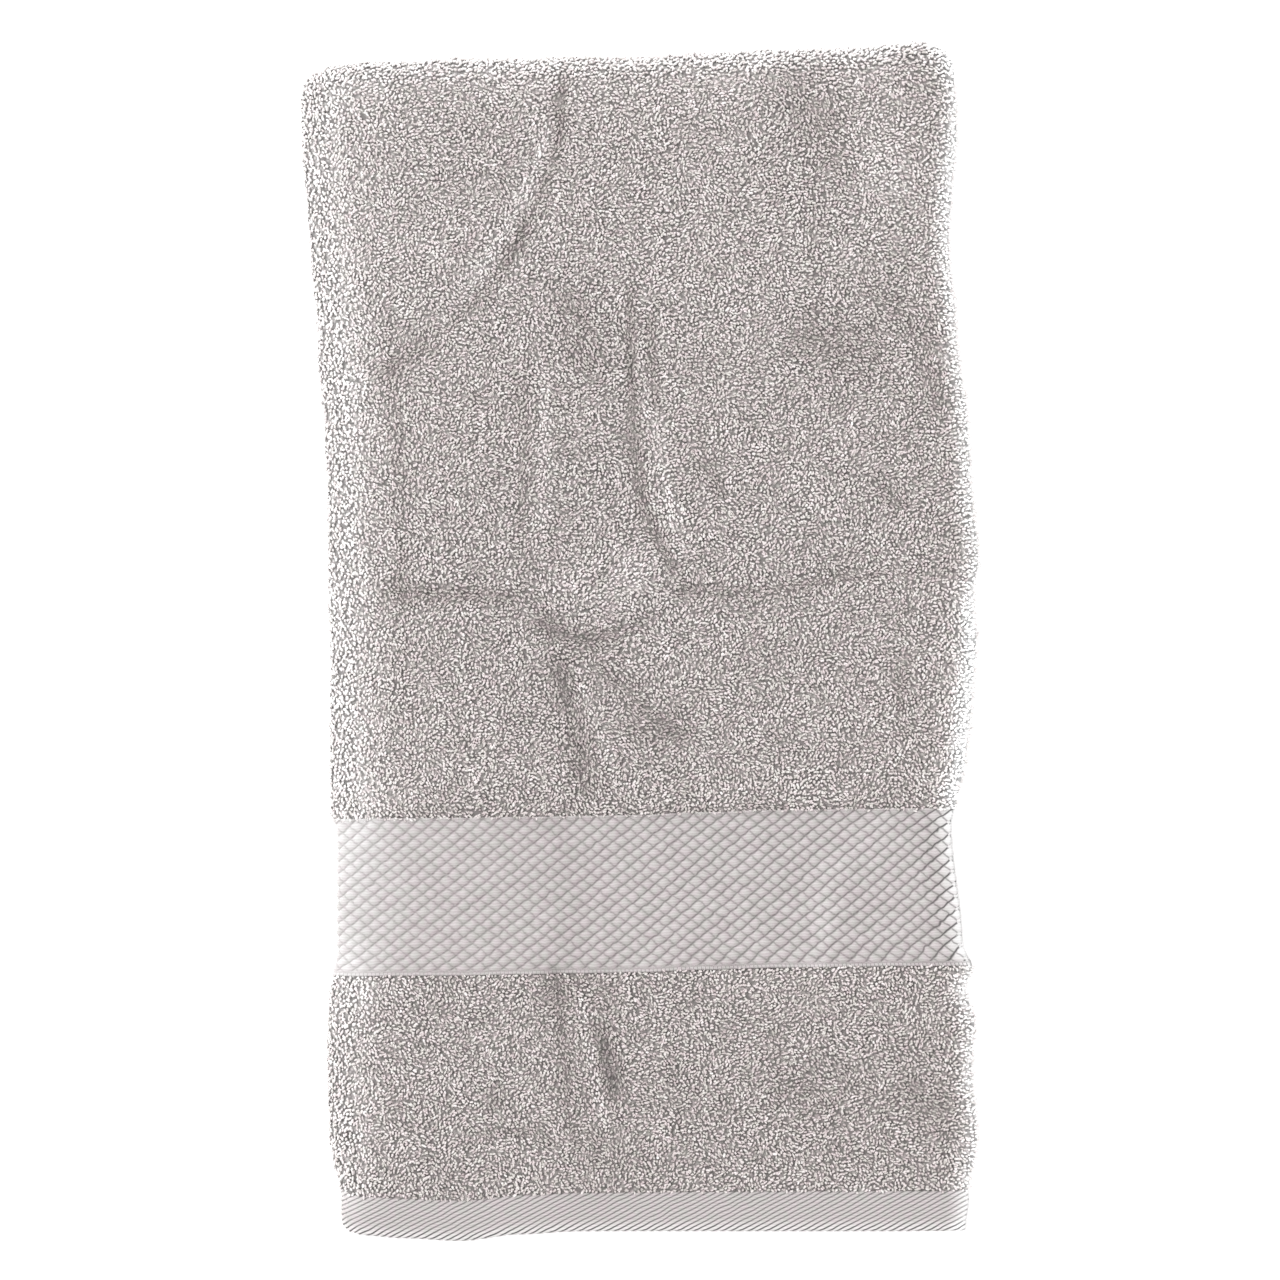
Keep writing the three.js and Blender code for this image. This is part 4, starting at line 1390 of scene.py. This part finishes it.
@dataclass
class TerryPile:
    """The looped pile, each loop a small bent grain of yarn with its ends in the ground."""

    cloth: FoldedCloth
    length: float = 3.0
    width: float = 1.9
    height: float = 1.5
    root: float = 0.3
    length_spread: float = 0.18
    width_spread: float = 0.12
    height_spread: float = 0.3
    shallowest: float = 0.4
    tallest: float = 1.3
    squash: float = 0.8
    lean: float = 0.55
    lean_spread: float = 0.25
    bend: float = 0.45
    heading_spread: float = 0.5
    heading_noises: tuple[SmoothNoise, SmoothNoise] = (SmoothNoise(31, 7.0), SmoothNoise(32, 7.0))
    tone_spread: float = 0.1
    clump_tone: float = 0.05
    clump_height: float = 0.12
    clump_noise: SmoothNoise = SmoothNoise(33, 5.0)
    wide_clump_noise: SmoothNoise = SmoothNoise(34, 14.0)
    wide_clump_share: float = 0.6
    # How far loops lie flat, which evens their painted shade from root to tip, and how much the painted
    # edge light sharpens it
    flat_tip: float = 0.8
    flattest: float = 0.8
    flattening: float = 1.4
    pressing: float = 0.5
    spikiness: float = 0.8
    crease_pull: float = 6.0
    comb_pull: float = 4.0
    comb_width: float = 12.0
    jitter: float = 0.27
    step_ratio: float = 0.9
    row_offsets: tuple[float, float] = (0.25, 0.75)
    seed: int = 6
    top_density: Density = Density(3.7, 1.3)
    fold_density: Density = Density(4.2, 0.6)
    under_density: Density = Density(9.0, 0.8)
    edge_overlap: float = 0.6
    border_clearance: float = 2.6
    clearance: float = 0.2
    turn_under: float = 0.9
    nose_inside: float = 1.2
    nose_under: float = 0.5

    # Each vertex's station along the loop from -1 to 1, and its place aside and above in halves
    # of the loop's width
    CORNERS = np.array(
        [
            (-1.0, 0.0, 0.0),
            (-0.46, 0.0, 1.0),
            (-0.46, 0.87, -0.5),
            (-0.46, -0.87, -0.5),
            (0.46, 0.0, 1.0),
            (0.46, 0.87, -0.5),
            (0.46, -0.87, -0.5),
            (1.0, 0.0, 0.0),
        ]
    )
    # Vertices of the twelve triangles
    FACES = np.array(
        [
            (0, 1, 3), (0, 2, 1), (0, 3, 2),
            (1, 2, 5), (1, 5, 4), (2, 3, 6), (2, 6, 5), (3, 1, 4), (3, 4, 6),
            (7, 4, 5), (7, 5, 6), (7, 6, 4),
        ]
    )
    # How pale each vertex is, from 0 at the dark root to 1 at the tip: painted shade that darkens each
    # loop's sides and its lower end
    TIPS = np.array([0.0, 0.75, 0.35, 0.35, 1.0, 0.6, 0.6, 0.75])

    def scatter(self, band: PileBand, rng: np.random.Generator) -> tuple[Array, Array]:
        """Places of the loops: a lattice with every other row set off by half, then jittered.

        Its rows stand step_ratio times as far apart as its columns.
        """
        wide, long = band.u_to - band.u_from, band.v_to - band.v_from
        ground = band.density.ground
        columns = round(wide / math.sqrt(ground / self.step_ratio))
        rows = round(long * wide / columns / ground)
        step_u, step_v = wide / columns, long / rows
        column, row = np.arange(columns), np.arange(rows)
        u, v = np.meshgrid(band.u_from + step_u * column, band.v_from + step_v * (row + 0.5))
        even, odd = self.row_offsets
        u = u + np.where(row % 2, odd, even)[:, None] * step_u
        u = u + rng.normal(0.0, self.jitter * step_u, u.shape)
        v = v + rng.normal(0.0, self.jitter * step_v, v.shape)
        return u.ravel(), v.ravel()

    def headings(self, u: Array, v: Array, rng: np.random.Generator) -> Array:
        """Which way each loop leans over, alike over patches and along the creases nearby.

        A heading and its opposite are alike, so the noise is mixed as the doubled angle's
        cosine and sine. A crease adds its own direction by its strength.
        """
        point = self.cloth.fold(u, v)
        x = point[:, 0] - self.cloth.shift[0]
        y = point[:, 1] - self.cloth.shift[1]
        cosine, sine = (noise.at(u, v) for noise in self.heading_noises)
        for crease in PAINTED_SHADE_AND_LIGHT:
            pull = self.crease_pull * abs(crease.amount) * crease.strength(x, y)
            _, _, heading = crease.nearest(x, y)
            cosine = cosine + pull * np.cos(2 * heading)
            sine = sine - pull * np.sin(2 * heading)
        edge = self.cloth.edge_u
        cosine = cosine + self.comb_pull * smoothstep(u, edge - self.comb_width, edge)
        return np.arctan2(sine, cosine) / 2 + rng.normal(0.0, self.heading_spread, u.shape)

    def grains(
        self, at: Array, ahead: Array, up: Array, size: Array, bend: Array, lean: Array
    ) -> Array:
        """Vertices of bent grains.

        The middle line passes t from -1 to 1 along the loop, rises as height (1 - t^2) and
        moves sideways as bend (1 - t^2). Rings of three vertices stand round it at two
        stations, and both ends are points.

        Args:
            at: Middle of each loop on the ground.
            ahead: Unit way along each loop.
            up: Unit way out of the ground.
            size: Length, width and height of each loop.
            bend: Sideways bow of each loop.
            lean: How much higher one end stands than the other.

        Returns:
            Eight points a loop.
        """
        side = np.cross(up, ahead)
        t, aside, above = (self.CORNERS[:, k][None, :] for k in range(3))
        length, width, height = (size[:, k][:, None] for k in range(3))
        arch = 1.0 - t**2
        forward = t * length / 2
        sideways = bend[:, None] * arch + aside * width / 2
        thick = above * width / 2 * self.squash
        upward = height * arch - self.root + thick + lean[:, None] * t
        return (
            at[:, None, :]
            + forward[..., None] * ahead[:, None, :]
            + sideways[..., None] * side[:, None, :]
            + upward[..., None] * up[:, None, :]
        )

    def join(
        self, name: str, points: Array, tone: Array, flat: Array, material: bpy.types.Material
    ) -> bpy.types.Object:
        """One mesh of many loops, with numbers that their material reads.

        Args:
            name: Name of the piece.
            points: Eight points a loop.
            tone: How much paler or darker each loop is: painted shade and light, and a part at random.
            flat: How far each loop lies flat, which evens its painted shade from root to tip.
            material: Finish of the loops.

        Returns:
            The joined loops.
        """
        points = points.copy()
        points[..., 2] = np.maximum(points[..., 2], 0.0)
        first = len(self.CORNERS) * np.arange(len(points))
        faces = (self.FACES[None] + first[:, None, None]).reshape(-1, 3)
        piece = new_mesh(name, points.reshape(-1, 3), [faces])
        set_attribute(piece, "tone", np.repeat(tone, len(self.CORNERS)))
        set_attribute(piece, "tip", lerp(self.TIPS[None], self.flat_tip, flat[:, None]))
        piece.data.materials.append(material)
        return piece

    def build(
        self, band: PileBand, number: int, material: bpy.types.Material
    ) -> bpy.types.Object:
        """Make the loops of a band.

        Args:
            band: The stretch of cloth that they stand on.
            number: Number of the band, which picks its random numbers.
            material: Finish of the loops.

        Returns:
            The joined loops.
        """
        rng = np.random.default_rng(self.seed + number)
        u, v = self.scatter(band, rng)
        heading = self.headings(u, v, rng)
        at, across, along, up = self.cloth.axes(u, v, -band.density.bed)
        ahead = across * np.cos(heading)[:, None] + along * np.sin(heading)[:, None]
        # crease holds the painted shade and light of the creases and the edge. Loops stand lower where
        # it is dark, lie flatter with evener painted shade where creases are painted pale, and get
        # stronger painted shade near the edge
        crease = self.cloth.tone(u, v)
        clump = self.clump_noise.at(u, v)
        clump = clump + self.wide_clump_share * self.wide_clump_noise.at(u, v)
        scale = 1.0 + rng.normal(0.0, self.length_spread, u.shape)
        pale = self.cloth.painted_edge_light_tone(u)
        flat = np.clip(self.flattening * (crease - pale), 0.0, self.flattest)
        flat = flat - self.spikiness * pale
        tall = 1.0 + np.minimum(crease, 0.0) + self.clump_height * clump
        tall = np.clip(tall, self.shallowest, self.tallest)
        tall = tall * (1.0 - self.pressing * np.maximum(flat, 0.0))
        size = np.stack(
            (
                self.length * scale,
                self.width * (1.0 + rng.normal(0.0, self.width_spread, u.shape)),
                self.height * (tall + rng.normal(0.0, self.height_spread, u.shape)),
            ),
            axis=-1,
        )
        bend = rng.normal(0.0, self.bend, u.shape)
        lean = rng.normal(self.lean, self.lean_spread, u.shape)
        points = self.grains(at, ahead, up, size, bend, lean)
        # Each loop's tone: that painted shade and light, with clumps and a part at random
        tone = crease + self.clump_tone * clump + rng.normal(0.0, self.tone_spread, u.shape)
        return self.join(band.name, points, tone, flat, material)

    def bands(self) -> list[PileBand]:
        """The pile of the top, in four stretches, and of the folds."""
        cloth, arc, turn = self.cloth, self.cloth.nose_arc, self.cloth.turn_arc
        edge = cloth.edge_u + self.edge_overlap
        inside, under = -self.nose_inside * arc, self.nose_under * arc
        third = (cloth.turn_start - cloth.border_top) / 3
        thirds = (float(cloth.upper(cloth.turn_start - k * third)) for k in range(4))
        field_top, upper_cut, lower_cut, field_bottom = thirds
        band_top = float(cloth.upper(cloth.border_bottom - self.border_clearance))
        band_bottom = float(cloth.upper(cloth.hem_top + self.clearance))
        top, folds, below = self.top_density, self.fold_density, self.under_density
        return [
            PileBand("pile_upper", arc, edge, field_top, upper_cut, top),
            PileBand("pile_middle", arc, edge, upper_cut, lower_cut, top),
            PileBand("pile_lower", arc, edge, lower_cut, field_bottom - self.clearance, top),
            PileBand("pile_band", arc, edge, band_top, band_bottom, top),
            PileBand("pile_turn", -arc, edge, -turn * self.turn_under, turn, folds),
            PileBand("pile_nose_upper", inside, arc, field_top, field_bottom, folds),
            PileBand("pile_nose_band", inside, arc, band_top, band_bottom, folds),
            PileBand("pile_nose_lower", inside, under, -field_bottom, -field_top, below),
            PileBand("pile_nose_low_band", inside, under, -band_bottom, -band_top, below),
        ]


@dataclass
class SelvedgeFringe:
    """Loops that stick out of the four selvedges, one layer over another."""

    pile: TerryPile
    step: float = 1.0
    margin: float = 1.0
    scatter: float = 0.4
    level_from: float = -0.9
    level_to: float = 0.7
    reach: float = 2.0
    length: float = 4.2
    length_spread: float = 0.25
    width: float = 1.0
    height: float = 0.3
    height_spread: float = 0.5
    spread: float = 0.45
    out_share: float = 0.12
    lean: float = -0.2
    lean_spread: float = 0.5
    bend: float = 0.6
    # The fringe's loops are painted paler, painted light along the selvedges, with evener painted shade
    tone: float = 0.35
    flat: float = 0.3
    seed: int = 70

    def build(
        self, name: str, pair: int, panel: int, material: bpy.types.Material
    ) -> bpy.types.Object:
        """Make the loops of one selvedge.

        Args:
            name: Name of the piece.
            pair: 1 for the upper pair and -1 for the lower one.
            panel: 1 for the outer panel and -1 for the inner one.
            material: Finish of the loops.

        Returns:
            The joined loops.
        """
        cloth = self.pile.cloth
        rng = np.random.default_rng(self.seed + 2 * pair + panel)
        low, high = cloth.hem_top + self.margin, cloth.border_bottom - self.margin
        y = np.concatenate(
            (
                np.arange(cloth.border_top, cloth.turn_start, self.step),
                np.arange(low, high, self.step),
            )
        )
        count = y.shape
        y = y + rng.normal(0.0, self.scatter, count)
        v = pair * cloth.upper(y)
        u = np.full(count, panel * cloth.edge_u)
        level = rng.uniform(self.level_from, self.level_to, count)
        at = cloth.fold(u, v, level)
        out = unit(at - cloth.fold(u - panel * self.reach, v, level))
        along = unit(cloth.fold(u, v + 1.0, level) - at)
        heading = rng.normal(0.0, self.spread, count)
        ahead = unit(out * np.cos(heading)[:, None] + along * np.sin(heading)[:, None])
        normal = np.cross(ahead, along)
        up = unit(normal * np.sign(normal[:, 2:3]))
        length = self.length * (1.0 + rng.normal(0.0, self.length_spread, count))
        height = rng.normal(self.height, self.height_spread, count)
        size = np.stack((length, np.full(count, self.width), height), axis=-1)
        at = at + out * (length * self.out_share)[:, None]
        lean = rng.normal(self.lean, self.lean_spread, count)
        bend = rng.normal(0.0, self.bend, count)
        points = self.pile.grains(at, ahead, up, size, bend, lean)
        tone = rng.normal(self.tone, self.pile.tone_spread, count)
        return self.pile.join(name, points, tone, np.full(count, self.flat), material)


@dataclass
class Studio:
    """A plain pale floor, soft even light and a camera straight above the towel."""

    field_width_m: float = 0.7526
    lens: float = 120.0
    sensor: float = 36.0
    top_m: float = 0.020
    clip_m: tuple[float, float] = (0.1, 50.0)
    centre_m: tuple[float, float] = (0.0006, -0.0002)
    floor_half_m: float = 4.0
    floor_drop_m: float = 0.0006
    floor_tones: tuple[Colour, Colour] = ((0.93, 0.93, 0.93, 1.0), (0.94, 0.94, 0.94, 1.0))
    floor_patches: float = 3.0
    floor_roughness: float = 0.9
    floor_glow: float = 0.35
    sky_zenith: float = 0.95
    sky_horizon: float = 1.8
    sky_power: float = 3.0
    key_strength: float = 1.83
    key_tilt: tuple[float, float] = (22.0, -38.0)
    key_softness: float = 40.0

    def floor(self) -> bpy.types.Object:
        """A wide flat slab under the towel, lit from within a little like a light table."""
        half, drop = self.floor_half_m * METRE, self.floor_drop_m * METRE
        corners = np.array([(-half, -half), (half, -half), (half, half), (-half, half)])
        points = np.column_stack((corners, np.full(4, -drop)))
        piece = new_mesh("floor", points, [np.array([(0, 1, 2, 3)])])
        constants = {
            "Roughness": self.floor_roughness,
            "Emission Color": WHITE,
            "Emission Strength": self.floor_glow,
        }
        material, board, shader = new_material("Pale floor", constants)
        low, high = self.floor_tones
        colour = board.ramp(board.noise(self.floor_patches), (0.0, low), (1.0, high))
        board.tree.links.new(colour, shader.inputs["Base Color"])
        piece.data.materials.append(material)
        return piece

    def lights(self) -> None:
        """A pale sky, brighter towards the horizon, and a broad soft light from above."""
        world = bpy.data.worlds.new("Studio sky")
        world.use_nodes = True
        background = next(n for n in world.node_tree.nodes if n.type == "BACKGROUND")
        background.inputs["Color"].default_value = WHITE
        board = Board(world.node_tree)
        heading = board.add("ShaderNodeTexCoord").outputs["Generated"]
        up = board.add("ShaderNodeSeparateXYZ", {"Vector": heading}).outputs["Z"]
        level = board.maths("SUBTRACT", 1.0, board.maths("ABSOLUTE", up))
        low = board.maths("POWER", level, self.sky_power)
        rise = self.sky_horizon - self.sky_zenith
        glow = board.maths("MULTIPLY_ADD", low, rise, self.sky_zenith)
        board.tree.links.new(glow, background.inputs["Strength"])
        bpy.context.scene.world = world
        key = bpy.data.lights.new("Key light", "SUN")
        key.energy = self.key_strength
        key.angle = math.radians(self.key_softness)
        lamp = bpy.data.objects.new("Key light", key)
        lamp.rotation_euler = (-math.radians(self.key_tilt[0]), math.radians(self.key_tilt[1]), 0.0)
        bpy.context.scene.collection.objects.link(lamp)

    def camera(self) -> None:
        """A long lens straight above, its frame as wide as the photograph's."""
        data = bpy.data.cameras.new("Camera")
        data.lens = self.lens
        data.sensor_width = self.sensor
        data.clip_start, data.clip_end = self.clip_m
        camera = bpy.data.objects.new("Camera", data)
        distance = self.field_width_m * self.lens / self.sensor
        camera.location = (*self.centre_m, self.top_m + distance)
        bpy.context.scene.collection.objects.link(camera)
        bpy.context.scene.camera = camera
        bpy.context.scene.view_settings.view_transform = "Standard"


def triangles(piece: bpy.types.Object) -> int:
    """How many triangles a piece has: each face has two fewer than its corners."""
    return len(piece.data.loops) - 2 * len(piece.data.polygons)


def report(piece: bpy.types.Object) -> bpy.types.Object:
    """Let a piece ride on the towel's body, and log it."""
    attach(piece, BODY)
    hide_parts(NODE)
    LOG.info("%s: %d triangles", piece.name, triangles(piece))
    return piece


def main() -> None:
    """Build the towel's pieces in order, then the studio round them."""
    logging.basicConfig(level=logging.INFO, format="%(name)s: %(message)s")
    cloth = FoldedCloth()
    materials = CottonMaterials()
    sheet = report(ClothSheet(cloth).build(materials))
    parts = [report(WovenBorder(cloth).build(materials)), report(TurnedHem(cloth).build(materials))]
    pile = TerryPile(cloth)
    terry = materials.terry()
    for number, band in enumerate(pile.bands()):
        parts.append(report(pile.build(band, number, terry)))
    fringe = SelvedgeFringe(pile)
    for name, pair, panel in (
        ("fringe_top", 1, 1),
        ("fringe_upper", 1, -1),
        ("fringe_lower", -1, -1),
        ("fringe_floor", -1, 1),
    ):
        parts.append(report(fringe.build(name, pair, panel, terry)))
    LOG.info("all pieces: %d triangles", sum(triangles(piece) for piece in (sheet, *parts)))
    studio = Studio()
    studio.floor()
    studio.lights()
    studio.camera()


if __name__ == "__main__":
    main()
